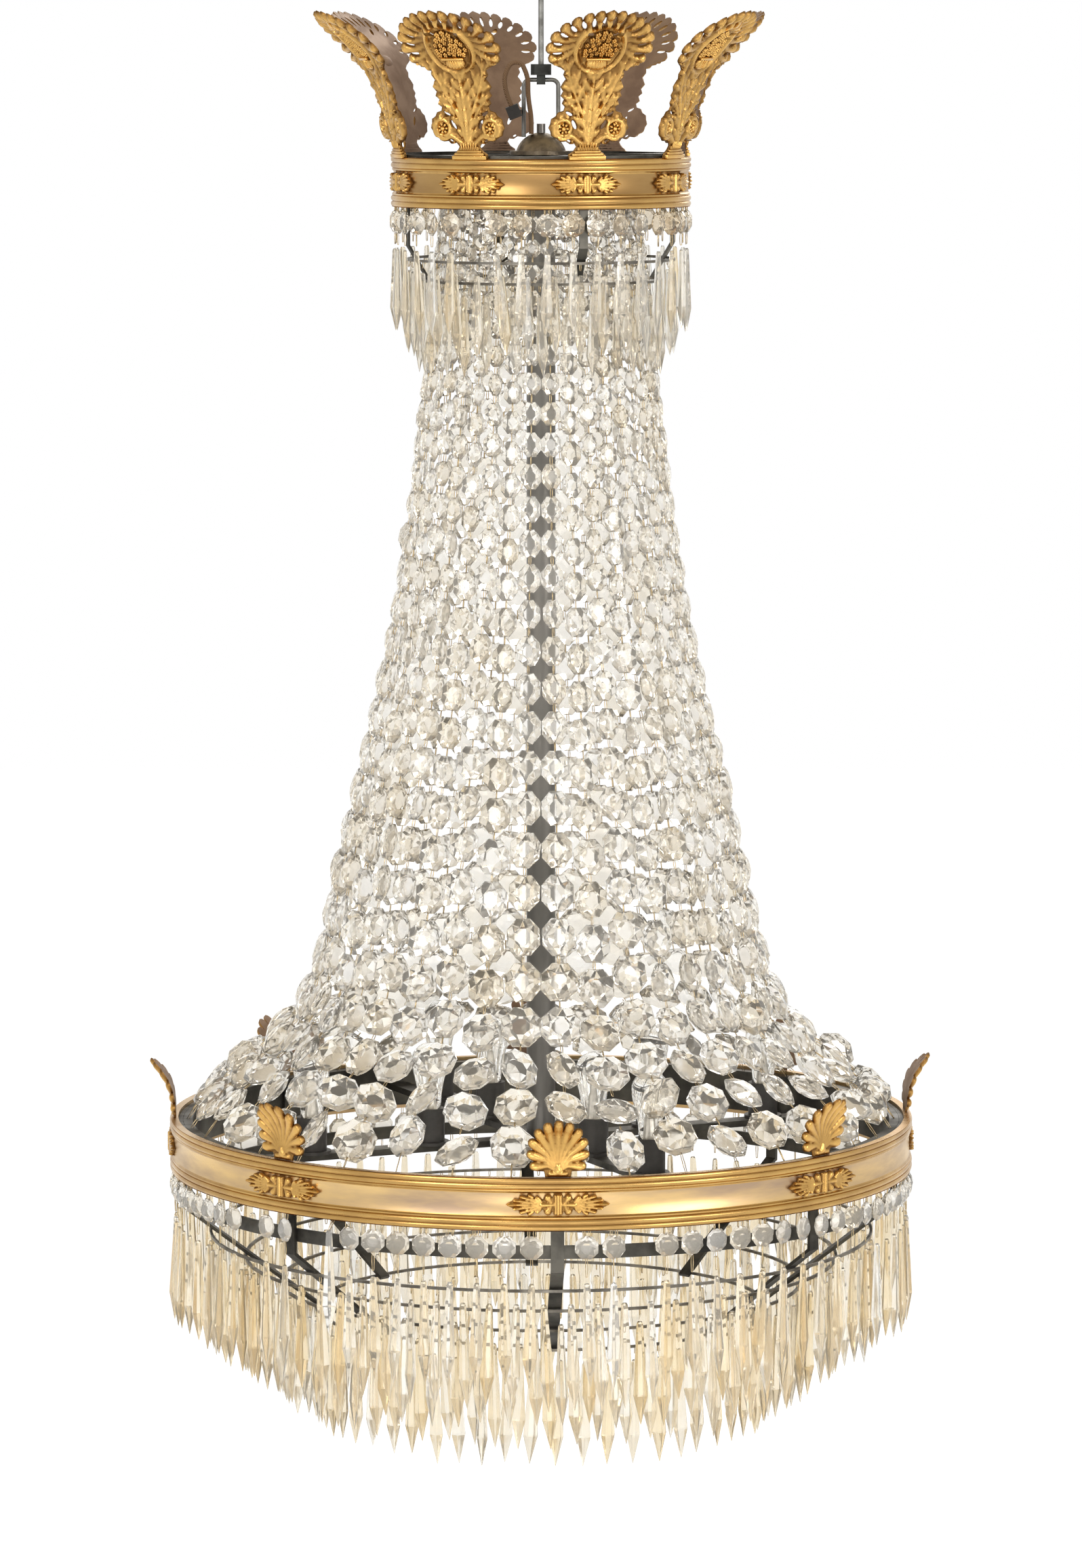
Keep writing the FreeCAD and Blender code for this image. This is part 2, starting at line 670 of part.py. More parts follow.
def lower_hoop(k):
    """Radius and height of the hoop of tier k, counted from 0 at the outside."""
    r = tier_radius(LOWER_FRINGE_R, LOWER_TIER_STEP, k)
    first = LOWER_SPEAR_TOP + HOOK_DROP - LOWER_FIRST_DROP
    return r, first - (k - 1) * LOWER_TIER_DROP


def upper_hoop(k):
    r = tier_radius(UPPER_FRINGE_R, UPPER_TIER_STEP, k)
    return r, UPPER_SPEAR_TOP + HOOK_DROP - k * UPPER_TIER_DROP


def hung_tier(hoop_at, prism, places):
    """The spears of one inner tier and the hooks that they hang by."""
    r, z = hoop_at
    top = z - HOOP_WIRE / 2 - HOOK_DROP
    one = stand(prism, r, top)
    hook = pin((r, z - HOOP_WIRE / 2 - SEAT_GAP), (r, top + SEAT_GAP))
    return [turned(one, a) for a in places], [turned(hook, a) for a in places]


def lower_fringe():
    prism = spear(SPEAR_LENGTH, SPEAR_WIDTH, SPEAR_THICK)
    bead, wires, link, top = garland(LOWER_FRINGE_R, LOWER_BAND_FOOT, GARLAND_WIRE, LOWER_PIN)
    every = tier_places(LOWER_TIERS[0], GARLAND_AZIMUTH, 0)
    places = kept_places(every, GARLAND_MISSING)
    save("lower_garland", [turned(bead, a) for a in places])
    prism_askew, wire_askew = leaning_spear()
    save("leaning_spear", [prism_askew])
    save("lower_garland_wires", [wire_askew] + [turned(w, a) for a in places for w in wires])
    outer = stand(prism, LOWER_FRINGE_R, top)
    loose = every[LOOSE_PLACE]
    rest = [a for a in places if a != loose]
    save("lower_spears_1", [turned(outer, a) for a in rest])
    save("lower_garland_pins", [turned(link, a) for a in rest])
    save("loose_pendant", [turned(outer, loose), turned(link, loose)])
    hooks, hoops = [], []
    for k in range(1, len(LOWER_TIERS)):
        places = tier_places(LOWER_TIERS[k], GARLAND_AZIMUTH, k)
        spears, more = hung_tier(lower_hoop(k), prism, places)
        save(f"lower_spears_{k + 1}", spears)
        hooks += more
        hoops.append(hoop(*lower_hoop(k)))
    save("lower_hooks", hooks)
    save("lower_hoops", hoops)
    print("loose pendant azimuth", round(loose, 3), "radius", LOWER_FRINGE_R, "top", round(top, 3))


def lower_brackets():
    r_in = LOWER_RING_INNER - SEAT_GAP - BRACKET_THICK / 2
    last = lower_hoop(len(LOWER_TIERS) - 1)[0]
    bend, tip = hoop_strip(r_in, last - BRACKET_OVERHANG, *lower_hoop(1),
                           LOWER_TIER_STEP, LOWER_TIER_DROP, BRACKET_THICK)
    root = (r_in, LOWER_RING_TOP - TENT_HOOP_THICK - BRACKET_HEADROOM)
    strip = bracket(root, bend, tip, BRACKET_WIDTH, BRACKET_THICK)
    return [turned(strip, a) for a in azimuths(BRACKETS, SHELL_AZIMUTH)]


def upper_brackets():
    r_in = UPPER_RING_INNER - SEAT_GAP - UPPER_BRACKET_THICK / 2
    last = upper_hoop(len(UPPER_TIERS) - 1)[0]
    bend, tip = hoop_strip(r_in, last - UPPER_BRACKET_OVERHANG, *upper_hoop(1),
                           UPPER_TIER_STEP, UPPER_TIER_DROP, UPPER_BRACKET_THICK)
    root = (r_in, UPPER_ARM_FOOT - TENT_HOOP_THICK - BRACKET_HEADROOM)
    strip = bracket(root, bend, tip, UPPER_BRACKET_WIDTH, UPPER_BRACKET_THICK)
    return [turned(strip, a) for a in azimuths(UPPER_BRACKETS, PALMETTE_AZIMUTH)]


def inner_bar():
    """A flat iron hoop on the inner face of the brackets, behind the octagons."""
    r_out = LOWER_RING_INNER - 2 * SEAT_GAP - BRACKET_THICK
    top = LOWER_BAND_FOOT - GARLAND_WIRE - GARLAND_BEAD * 0.5
    return ring(r_out - INNER_BAR_THICK, r_out, top - INNER_BAR_HEIGHT, INNER_BAR_HEIGHT)


def upper_fringe():
    prism = spear(UPPER_SPEAR_LENGTH, UPPER_SPEAR_WIDTH, UPPER_SPEAR_THICK)
    bead, wires, link, top = garland(
        UPPER_FRINGE_R, UPPER_BAND_FOOT, UPPER_GARLAND_WIRE, UPPER_PIN)
    every = tier_places(UPPER_TIERS[0], UPPER_GARLAND_AZIMUTH, 0)
    places = kept_places(every, UPPER_GARLAND_MISSING)
    save("upper_garland", [turned(bead, a) for a in places])
    pins = [turned(w, a) for a in places for w in wires]
    pins += [turned(link, a) for a in places]
    outer = stand(prism, UPPER_FRINGE_R, top)
    save("upper_spears_1", [turned(outer, a) for a in places])
    hoops = []
    for k in range(1, len(UPPER_TIERS)):
        places = tier_places(UPPER_TIERS[k], UPPER_GARLAND_AZIMUTH, k)
        spears, hooks = hung_tier(upper_hoop(k), prism, places)
        save(f"upper_spears_{k + 1}", spears)
        pins += hooks
        hoops.append(hoop(*upper_hoop(k)))
    save("upper_pins", pins)
    save("upper_hoops", hoops)


def leaning_spear():
    """A spear caught askew in front of the octagons, on a wire from the band's foot."""
    r = LOWER_FRINGE_R + GARLAND_THICK / 2 + SPEAR_THICK / 2 + SEAT_GAP
    prism = spear(SPEAR_LENGTH, SPEAR_WIDTH, SPEAR_THICK)
    prism.rotate(V(0, 0, 0), V(0, 1, 0), -LEAN_DEG)
    top = LOWER_BAND_FOOT - LEAN_WIRE
    clear = SEAT_GAP + PIN / 2 * math.tan(math.radians(LEAN_DEG))
    wire = pin((LOWER_BAND_R - LEAN_WIRE_IN, LOWER_BAND_FOOT - SEAT_GAP), (r, top + clear))
    return turned(stand(prism, r, top), LEAN_AZIMUTH), turned(wire, LEAN_AZIMUTH)


# ---------------------------------------------------------------- ornaments

def palmette():
    """A cast crown palmette: foot, scrolls, leaves and a medallion in a lobed fan."""
    foot_r = UPPER_BAND_R - UPPER_BAND_WALL + 1.0
    z0 = UPPER_BAND_TOP + SEAT_GAP
    sweep = [(0.0, 0.0), (0.06, 0.16), (0.13, 0.33), (0.23, 0.52), (0.36, 0.67), (0.54, 0.8),
             (0.76, 0.91), (1.0, 1.0)]
    bends = swept(foot_r, z0, PALMETTE_REACH, PALMETTE_HEIGHT, sweep)
    back = sheet(bends, 0.0, PALMETTE_THICK, PALMETTE_HALF_WIDTH + 2)
    front = sheet(bends, PALMETTE_THICK - 0.2, PALMETTE_THICK + PALMETTE_RELIEF,
                  PALMETTE_HALF_WIDTH + 2)
    return palmette_ground(z0).common(back).fuse(palmette_relief(z0).common(front))


def palmette_depths():
    return UPPER_BAND_R - 30.0, UPPER_BAND_R + PALMETTE_REACH + 20.0


def lobe_centres(z0):
    """Centres of the fan's lobes, on an arch around the medallion."""
    middle = z0 + PALMETTE_HEIGHT * 0.77
    half_w, half_h = PALMETTE_HALF_WIDTH - 6.5, PALMETTE_HEIGHT * 0.23 - 6.5
    centres = []
    for k in range(13):
        angle = math.radians(-24.0 + 19.0 * k)
        centres.append((half_w * math.cos(angle), middle + half_h * math.sin(angle)))
    return centres


def palmette_ground(z0):
    near, far = palmette_depths()
    h = PALMETTE_HEIGHT / 135.0
    half = [(18.5, 0), (18.5, 4), (13, 7), (9.5, 11), (10, 20), (17, 38), (25, 50), (32, 66),
            (26, 74), (33, 86), (45, 98)]
    outline = mirrored([(x, z0 + z * h) for x, z in half])
    ground = bar_through(outline, near, far)
    ground = ground.fuse(disc_through(0, z0 + 103 * h, 31.0, near, far))
    for side in (-1, 1):
        ground = ground.fuse(disc_through(side * 24.5, z0 + 28 * h, 11.5, near, far))
    for x, z in lobe_centres(z0):
        ground = ground.fuse(disc_through(x, z, 6.5, near, far))
    for x, z in lobe_centres(z0):
        ground = ground.cut(disc_through(x * 0.79, z0 + 101 * h + (z - z0 - 101 * h) * 0.72,
                                         1.9, near, far))
    arch = disc_through(0, z0 + 105 * h, MEDALLION_R - 5, near, far)
    arch = arch.cut(disc_through(0, z0 + 101 * h, MEDALLION_R - 5, near, far))
    return ground.cut(arch)


def palmette_relief(z0):
    near, far = palmette_depths()
    h = PALMETTE_HEIGHT / 135.0
    frame = disc_through(0, z0 + 102 * h, MEDALLION_R, near, far)
    frame = frame.cut(disc_through(0, z0 + 102 * h, MEDALLION_R - 4, near, far))
    relief = [frame, disc_through(0, z0 + 97 * h, 13.0, near, far)]
    for side in (-1, 1):
        relief.append(disc_through(side * 24.5, z0 + 28 * h, 7.5, near, far))
        leaf = [(0, 22), (side * 7, 40), (side * 24, 60), (side * 27, 68), (side * 12, 64), (0, 74)]
        relief.append(bar_through([(x, z0 + z * h) for x, z in leaf], near, far))
    for x, z in lobe_centres(z0):
        relief.append(disc_through(x, z, 4.2, near, far))
    foot = [(16.5, 0.5), (16.5, 3.5), (8, 10), (7, 18)]
    relief.append(bar_through(mirrored([(x, z0 + z * h) for x, z in foot]), near, far))
    return Part.makeCompound(relief)


def shell_ornament():
    """A ribbed shell that stands on the lower band and leans outwards."""
    foot_r = LOWER_BAND_R - LOWER_BAND_WALL + 2.0
    z0 = LOWER_BAND_TOP + SEAT_GAP
    sweep = [(0.0, 0.0), (0.02, 0.2), (0.12, 0.45), (0.34, 0.7), (0.64, 0.88), (1.0, 1.0)]
    bends = swept(foot_r, z0, SHELL_REACH, SHELL_HEIGHT, sweep)
    back = sheet(bends, 0.0, SHELL_THICK, SHELL_HALF_WIDTH + 2)
    front = sheet(bends, SHELL_THICK - 0.2, SHELL_THICK + SHELL_RELIEF, SHELL_HALF_WIDTH + 2)
    near, far = LOWER_BAND_R - 30.0, LOWER_BAND_R + SHELL_REACH + 20.0
    hinge, middle = z0 + SHELL_HEIGHT * 0.09, z0 + SHELL_HEIGHT * 0.42
    lobe = SHELL_HALF_WIDTH * 0.16
    reach, rise = SHELL_HALF_WIDTH - lobe, SHELL_HEIGHT * 0.58 - lobe
    foot = [(SHELL_FOOT_HALF, z0), (SHELL_FOOT_HALF * 0.8, hinge + 6)]
    ground = bar_through(mirrored(foot), near, far)
    ribs = []
    for k in range(SHELL_RIBS):
        angle = math.radians(-SHELL_DROOP + (180.0 + 2 * SHELL_DROOP) * k / (SHELL_RIBS - 1))
        x, z = reach * math.cos(angle), middle + rise * math.sin(angle)
        along = math.atan2(z - hinge, x)
        side_x, side_z = lobe * math.sin(along), lobe * math.cos(along)
        ray = [(0, hinge - 2), (x + side_x, z - side_z), (x - side_x, z + side_z)]
        ground = ground.fuse(bar_through(ray, near, far))
        ground = ground.fuse(disc_through(x, z, lobe, near, far))
        rib = []
        for out, half in ((0.3, 0.12), (1.0, 0.5), (1.0, -0.5), (0.3, -0.12)):
            rib.append((x * out + side_x * half, hinge + (z - hinge) * out - side_z * half))
        ribs.append(bar_through(rib, near, far))
    relief = Part.makeCompound(ribs)
    return ground.common(back).fuse(relief.common(front))


def frieze_mount(length, band_r, band_top, band_height):
    """A cast mount with a knot between two pointed leaves, bent to the frieze."""
    middle = band_top - band_height / 2
    inner = band_r - BAND_RECESS + SEAT_GAP
    height = band_height - 2 * BAND_MOULD - 2 * SEAT_GAP
    u = length / 93.0
    h = height / 22.2
    depth = inner - 25.0, inner + MOUNT_THICK + 5.0
    plate = bar_through([(-4.5, middle - 11 * h), (4.5, middle - 11 * h),
                         (4.5, middle + 11 * h), (-4.5, middle + 11 * h)], *depth)
    blade = [(4 * u, -5), (20 * u, -10.5), (30 * u, -9), (46.5 * u, 0), (30 * u, 9),
             (20 * u, 10.5), (4 * u, 5)]
    for side in (-1, 1):
        outline = [(side * x, middle + z * h) for x, z in blade]
        plate = plate.fuse(bar_through(outline, *depth))
        for up in (-1, 1):
            plate = plate.fuse(disc_through(side * 11 * u, middle + up * 6.5 * h, 4.6 * h, *depth))
    sleeve = ring(inner, inner + MOUNT_THICK, middle - height, 2 * height)
    return plate.common(sleeve).Solids[0]


# ---------------------------------------------------------------- lamps

def lampholder(r):
    foot = STEM_FOOT
    body = Part.makeCylinder(HOLDER_R, HOLDER_HEIGHT, V(0, -r, foot))
    flange = Part.makeCylinder(HOLDER_R + HOLDER_FLANGE, HOLDER_FLANGE_THICK, V(0, -r, foot))
    return body.fuse(flange).removeSplitter()


def bulb(r):
    """A pear bulb standing on its lampholder."""
    z = STEM_FOOT + HOLDER_HEIGHT
    belly = BULB_LENGTH - BULB_R
    neck = Part.makeCone(BULB_R * 0.62, BULB_R, belly, V(0, -r, z))
    return neck.fuse(Part.makeSphere(BULB_R, V(0, -r, z + belly), V(0, 0, 1), 0, 90, 360))


# ---------------------------------------------------------------- the model

def main():
    os.makedirs("parts", exist_ok=True)
    save("hanger_rod", [hanger_rod()])
    save("hook_block", [hook_block()])
    save("stirrup", [stirrup()])
    save("dome_cap", [dome()])
    save("nipple", [nipple()])
    hole_r = NIPPLE_R + SEAT_GAP
    save("top_flange", [ring(hole_r, FLANGE_R, FLANGE_FOOT, FLANGE_THICK)])
    save("stem", [stem()])
    save("flex", [flex()])
    save("flex_terminal", [terminal(), terminal_tie()])

    upper_foot = UPPER_RING_TOP - UPPER_RING_HEIGHT
    reach = arm_reach(UPPER_RING_INNER, UPPER_ARM_WIDTH)
    save("upper_spider", [spider(UPPER_HUB_R, hole_r, UPPER_ARM_WIDTH, UPPER_ARM_THICK,
                                 reach, UPPER_ARM_FOOT)])
    save("upper_ring", [ring(UPPER_RING_INNER, UPPER_RING_R, upper_foot, UPPER_RING_HEIGHT)])
    save("upper_band", [band(UPPER_BAND_R, UPPER_BAND_WALL, UPPER_BAND_TOP, UPPER_BAND_HEIGHT)])
    hoop_foot = UPPER_ARM_FOOT - TENT_HOOP_THICK
    hoop_half = TENT_HOOP_WIDTH / 2
    save("tent_top_hoop", [ring(TENT_TOP_R - hoop_half, TENT_TOP_R + hoop_half,
                                hoop_foot, TENT_HOOP_THICK)])

    reach = arm_reach(LOWER_RING_INNER, LOWER_ARM_WIDTH)
    save("lower_spider", [spider(LOWER_HUB_R, STEM_R * 0.3, LOWER_ARM_WIDTH, LOWER_ARM_THICK,
                                 reach, LOWER_ARM_FOOT)])
    save("bottom_nut", [bottom_nut()])
    ring_foot = LOWER_RING_TOP - LOWER_RING_HEIGHT
    save("lower_ring", [ring(LOWER_RING_INNER, LOWER_RING_R, ring_foot, LOWER_RING_HEIGHT)])
    save("lower_band", [band(LOWER_BAND_R, LOWER_BAND_WALL, LOWER_BAND_TOP, LOWER_BAND_HEIGHT)])
    foot_half = TENT_FOOT_WIDTH / 2
    save("tent_foot_hoop", [ring(TENT_FOOT_R - foot_half, TENT_FOOT_R + foot_half,
                                 LOWER_RING_TOP - TENT_HOOP_THICK, TENT_HOOP_THICK)])

    tent()
    upper_fringe()
    save("upper_brackets", upper_brackets())
    lower_fringe()
    save("lower_brackets", lower_brackets())
    save("inner_bar", [inner_bar()])

    cast = palmette()
    for n, azimuth in enumerate(azimuths(ORNAMENTS, PALMETTE_AZIMUTH)):
        save(f"crown_palmette_{n + 1}", [turned(cast, azimuth)])
    cast = shell_ornament()
    shells = [turned(cast, azimuth) for azimuth in azimuths(ORNAMENTS, SHELL_AZIMUTH)]
    save("lower_shells", shells)
    mount = frieze_mount(UPPER_MOUNT_LENGTH, UPPER_BAND_R, UPPER_BAND_TOP, UPPER_BAND_HEIGHT)
    save("upper_mounts", [turned(mount, a) for a in azimuths(ORNAMENTS, PALMETTE_AZIMUTH)])
    mount = frieze_mount(LOWER_MOUNT_LENGTH, LOWER_BAND_R, LOWER_BAND_TOP, LOWER_BAND_HEIGHT)
    save("lower_mounts", [turned(mount, a) for a in azimuths(ORNAMENTS, SHELL_AZIMUTH)])

    lamp_places = [(a, r) for a in azimuths(ARM_COUNT, ARM_AZIMUTH) for r in LAMP_RADII]
    save("lampholders", [turned(lampholder(r), a) for a, r in lamp_places])
    save("bulbs", [turned(bulb(r), a) for a, r in lamp_places])


main()
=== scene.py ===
import random
from math import atan2, cos, dist, hypot, pi, radians, sin, tau

import bmesh
import bpy
from mathutils import Matrix, Vector, geometry


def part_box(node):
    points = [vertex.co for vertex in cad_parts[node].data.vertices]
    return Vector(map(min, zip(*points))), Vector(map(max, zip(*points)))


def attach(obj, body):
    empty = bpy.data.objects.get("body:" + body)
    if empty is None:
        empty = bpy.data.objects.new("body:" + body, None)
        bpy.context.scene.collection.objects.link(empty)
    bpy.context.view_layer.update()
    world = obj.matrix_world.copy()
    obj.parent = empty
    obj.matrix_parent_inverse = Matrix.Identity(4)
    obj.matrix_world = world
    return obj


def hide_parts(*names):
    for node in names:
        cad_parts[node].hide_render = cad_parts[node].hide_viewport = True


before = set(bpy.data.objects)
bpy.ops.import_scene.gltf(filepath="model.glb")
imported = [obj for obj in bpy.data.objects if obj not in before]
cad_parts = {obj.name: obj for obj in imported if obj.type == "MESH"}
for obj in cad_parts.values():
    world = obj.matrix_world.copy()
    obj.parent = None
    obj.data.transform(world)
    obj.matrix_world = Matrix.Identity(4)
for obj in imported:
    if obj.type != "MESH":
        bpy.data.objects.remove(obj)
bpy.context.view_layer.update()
scene = bpy.context.scene

# ------ camera and studio
# A long lens about six metres away, level with the crown and pitched a little down.
# The chandelier hangs over a plain pale floor, in soft light from large lamps. The camera sees
# white round it, while metal and glass see a room that is darker and warm at its top and foot.

IMAGE_HEIGHT_PX = 2312
FOCAL_PX = 9500
SENSOR_MM = 36.0
CAMERA_PLACE = (0.0, -6.005, -0.045)
CAMERA_PITCH = 6.70


def into_scene(name, data):
    """Add an object to the scene."""
    thing = bpy.data.objects.new(name, data)
    scene.collection.objects.link(thing)
    return thing


lens = bpy.data.cameras.new("camera")
lens.sensor_fit = "AUTO"
lens.sensor_width = SENSOR_MM
lens.lens = FOCAL_PX / IMAGE_HEIGHT_PX * SENSOR_MM
lens.clip_end = 100.0
camera = into_scene("camera", lens)
camera.location = CAMERA_PLACE
camera.rotation_euler = (radians(90.0 - CAMERA_PITCH), 0.0, 0.0)
scene.camera = camera
scene.view_settings.view_transform = "Standard"


def fresh_nodes(tree):
    """Empty a node tree and return a function that adds a node, sets its values and wires it."""
    tree.nodes.clear()

    def add(kind, links=(), **values):
        node = tree.nodes.new("ShaderNode" + kind)
        for name, value in values.items():
            setattr(node, name, value)
        for socket, source in dict(links).items():
            if isinstance(source, bpy.types.NodeSocket):
                tree.links.new(source, node.inputs[socket])
            else:
                node.inputs[socket].default_value = source
        return node

    return add


def new_material(name):
    """A new material without nodes, and the function that adds them."""
    material = bpy.data.materials.new(name)
    material.use_nodes = True
    return material, fresh_nodes(material.node_tree)


def seen_directly(add):
    """1 for rays from the camera, from a mirror and through glass, and 0 for the light itself."""
    path = add("LightPath")
    mirror = add("Math", {0: path.outputs["Is Camera Ray"], 1: path.outputs["Is Glossy Ray"]},
                 operation="MAXIMUM")
    glass = add("Math", {0: mirror.outputs[0], 1: path.outputs["Is Transmission Ray"]},
                operation="MAXIMUM")
    return path, glass.outputs[0]


def kept_mesh(bm, name):
    """Turn a finished bmesh into a mesh."""
    mesh = bpy.data.meshes.new(name)
    bm.to_mesh(mesh)
    bm.free()
    return mesh


LIGHT_LEVEL = 0.55
ROOM = (
    # share of the way from the foot to the top, colour
    (0.10, (0.64, 0.55, 0.41)), (0.36, (0.97, 0.955, 0.93)), (0.50, (1.0, 1.0, 0.99)),
    (0.64, (0.97, 0.955, 0.93)), (0.80, (0.68, 0.60, 0.47)), (0.95, (0.47, 0.40, 0.29)),
)
world = bpy.data.worlds.new("studio")
scene.world = world
world.use_nodes = True
add = fresh_nodes(world.node_tree)
path, direct = seen_directly(add)
around = add("TexCoord")
upward = add("SeparateXYZ", {0: around.outputs["Generated"]})
walls = add("ValToRGB", {0: add("MapRange", {0: upward.outputs["Z"], 1: -1.0, 2: 1.0}).outputs[0]})
stops = walls.color_ramp.elements
stops[0].position, stops[1].position = ROOM[0][0], ROOM[-1][0]
for share, _ in ROOM[1:-1]:
    stops.new(share)
for stop, (_, colour) in zip(stops, ROOM):
    stop.color = colour + (1,)
plain = add("MixRGB", {0: path.outputs["Is Camera Ray"], 1: walls.outputs[0], 2: (1, 1, 1, 1)})
seen = add("Background", {0: plain.outputs[0], 1: 1.0})
lit = add("Background", {0: (1.0, 0.985, 0.96, 1), 1: LIGHT_LEVEL})
both = add("MixShader", {0: direct, 1: lit.outputs[0], 2: seen.outputs[0]})
add("OutputWorld", {0: both.outputs[0]})

FLOOR_Z = -2.35
FLOOR_HALF = 14.0
bm = bmesh.new()
bmesh.ops.create_grid(bm, x_segments=1, y_segments=1, size=FLOOR_HALF,
                      matrix=Matrix.Translation((0, 0, FLOOR_Z)))
floor_mesh = kept_mesh(bm, "floor")
floor = into_scene("floor", floor_mesh)
pale, add = new_material("pale floor")
_, direct = seen_directly(add)
paint = add("BsdfDiffuse", {0: (0.42, 0.42, 0.415, 1)})
glow = add("Emission", {0: (0.80, 0.80, 0.795, 1), 1: direct})
total = add("AddShader", {0: paint.outputs[0], 1: glow.outputs[0]})
add("OutputMaterial", {0: total.outputs[0]})
floor_mesh.materials.append(pale)

AIM = (0.0, 0.0, -0.7)
LAMPS = (
    # place, size in metres, watts
    ((-2.2, -4.2, 1.2), 2.4, 95.0),
    ((3.0, -3.2, -0.2), 2.0, 55.0),
    ((1.0, 3.6, 1.6), 2.4, 60.0),
    ((0.0, -2.6, -2.2), 1.6, 16.0),
)
for number, (place, size, watts) in enumerate(LAMPS):
    lamp_data = bpy.data.lights.new(f"soft lamp {number + 1}", "AREA")
    lamp_data.size = size
    lamp_data.energy = watts
    lamp_data.color = (1.0, 0.97, 0.93)
    lamp = into_scene(lamp_data.name, lamp_data)
    lamp.location = place
    lamp.rotation_euler = (Vector(AIM) - Vector(place)).to_track_quat("-Z", "Y").to_euler()

# ------ suspension
# The ceiling rod and its eye are turned and forged steel, painted grey long ago. The hook block
# is blackened iron. The stirrup is bent from round rod and turns in the block's lug.


def metal(name, bright, dull, rough=(0.25, 0.45), scale=40.0, metallic=1.0, relief=None,
          bump=0.15, stretch=(1.0, 1.0, 1.0)):
    """A metal whose colour and gloss drift between bright and dull over the piece.
    relief names a mesh attribute that is 0 in the hollows and 1 on top: the hollows get the dull colour as
    painted shade."""
    made, add = new_material(name)
    place = add("TexCoord")
    turned = add("Mapping", {"Vector": place.outputs["Object"], "Scale": stretch})
    clouds = add("TexNoise", {"Vector": turned.outputs[0], "Scale": scale, "Detail": 5.0,
                              "Roughness": 0.6})
    share = add("MapRange", {0: clouds.outputs["Fac"], 1: 0.36, 2: 0.64}).outputs[0]
    # Painted shade: where the relief attribute is low, in the hollows, the metal takes the dull colour.
    if relief:
        height = add("Attribute", attribute_name=relief)
        drift = add("MapRange", {0: clouds.outputs["Fac"], 1: 0.3, 2: 0.7, 3: -0.18, 4: 0.18})
        share = add("Math", {0: height.outputs["Fac"], 1: drift.outputs[0]}, use_clamp=True).outputs[0]
    colour = add("MixRGB", {0: share, 1: dull + (1,), 2: bright + (1,)})
    gloss = add("MapRange", {0: share, 3: rough[1], 4: rough[0]})
    grain = add("TexNoise", {"Vector": place.outputs["Object"], "Scale": scale * 14, "Detail": 3.0})
    dents = add("Bump", {"Height": grain.outputs["Fac"], "Strength": bump, "Distance": 0.0004})
    shader = add("BsdfPrincipled", {"Base Color": colour.outputs[0], "Metallic": metallic,
                                    "Roughness": gloss.outputs[0], "Normal": dents.outputs[0]})
    add("OutputMaterial", {0: shader.outputs[0]})
    return made


def dress(material, *nodes):
    """Give CAD pieces, whose shapes are right as they are, their material."""
    for name in nodes:
        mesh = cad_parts[name].data
        mesh.materials.clear()
        mesh.materials.append(material)


grey_steel = metal("grey steel", (0.34, 0.345, 0.33), (0.20, 0.20, 0.19), (0.38, 0.6), 60.0)
black_iron = metal("blackened iron", (0.075, 0.08, 0.075), (0.035, 0.036, 0.034), (0.42, 0.7), 45.0,
                   metallic=0.7)
dress(grey_steel, "hanger_rod", "stirrup")
dress(black_iron, "hook_block")

# ------ cap, flange, stem and nut
# The spun cap over the flange is dark olive bronze. The stem is a plain steel tube, drawn grey,
# and everything is clamped between the nipple above and the finial nut below.

olive_bronze = metal("olive bronze", (0.33, 0.27, 0.19), (0.15, 0.125, 0.095), (0.30, 0.5), 70.0)
tube_steel = metal("drawn tube", (0.26, 0.25, 0.235), (0.145, 0.14, 0.13), (0.30, 0.5), 14.0,
                   stretch=(1.0, 1.0, 0.2))
dress(olive_bronze, "dome_cap", "top_flange", "bottom_nut")
dress(tube_steel, "stem", "nipple")

# ------ flex
# Brown cloth-covered flex comes out of the cap, loops left of the stirrup and ends in a small
# moulded block that is clipped to the stirrup's leg.

braid, add = new_material("braided flex")
place = add("TexCoord")
threads = add("TexWave", {"Vector": place.outputs["Object"], "Scale": 420.0, "Distortion": 3.0,
                          "Detail": 2.0}, bands_direction="DIAGONAL")
tone = add("MixRGB", {0: threads.outputs["Fac"], 1: (0.145, 0.08, 0.04, 1), 2: (0.35, 0.215, 0.115, 1)})
rise = add("Bump", {"Height": threads.outputs["Fac"], "Strength": 0.4, "Distance": 0.0003})
cloth = add("BsdfPrincipled", {"Base Color": tone.outputs[0], "Roughness": 0.85,
                               "Normal": rise.outputs[0]})
add("OutputMaterial", {0: cloth.outputs[0]})
dress(braid, "flex")

moulding = metal("black moulding", (0.055, 0.05, 0.045), (0.03, 0.028, 0.026), (0.4, 0.55), 50.0,
                 metallic=0.0)
dress(moulding, "flex_terminal")

# ------ iron frame
# Two flat iron rings, each on a four-armed spider that the stem clamps. They carry the gilt
# bands, the tent's hoops and the strips that the fringes hang from. All of it is blackened.

frame_iron = metal("frame iron", (0.092, 0.086, 0.072), (0.034, 0.032, 0.028), (0.35, 0.65), 22.0,
                   metallic=0.75)
dress(frame_iron, "upper_ring", "upper_spider", "upper_brackets", "tent_top_hoop", "lower_ring",
      "lower_spider", "lower_brackets", "inner_bar", "tent_foot_hoop")

# ------ gilt bands
# Each band is spun from brass and fire-gilt: two round reeds and a fillet run along both
# edges, and the flat frieze between them has worn to a brown patina in clouds and streaks.

BAND_MOULD = 0.014
BAND_RECESS = 0.0026
BAND_EDGE_IN = 0.0008
REED_HEIGHT = 0.0048
REED_PROUD = 0.0017
REED_GAP = 0.0003
FILLET_PROUD = 0.0014
FILLET_FOOT = 0.0108
FILLET_TOP = 0.0122
FILLET_EDGE = (0.0126, 0.0006)  # how high its rounded edge ends, and how far back
BAND_CREASE = 32


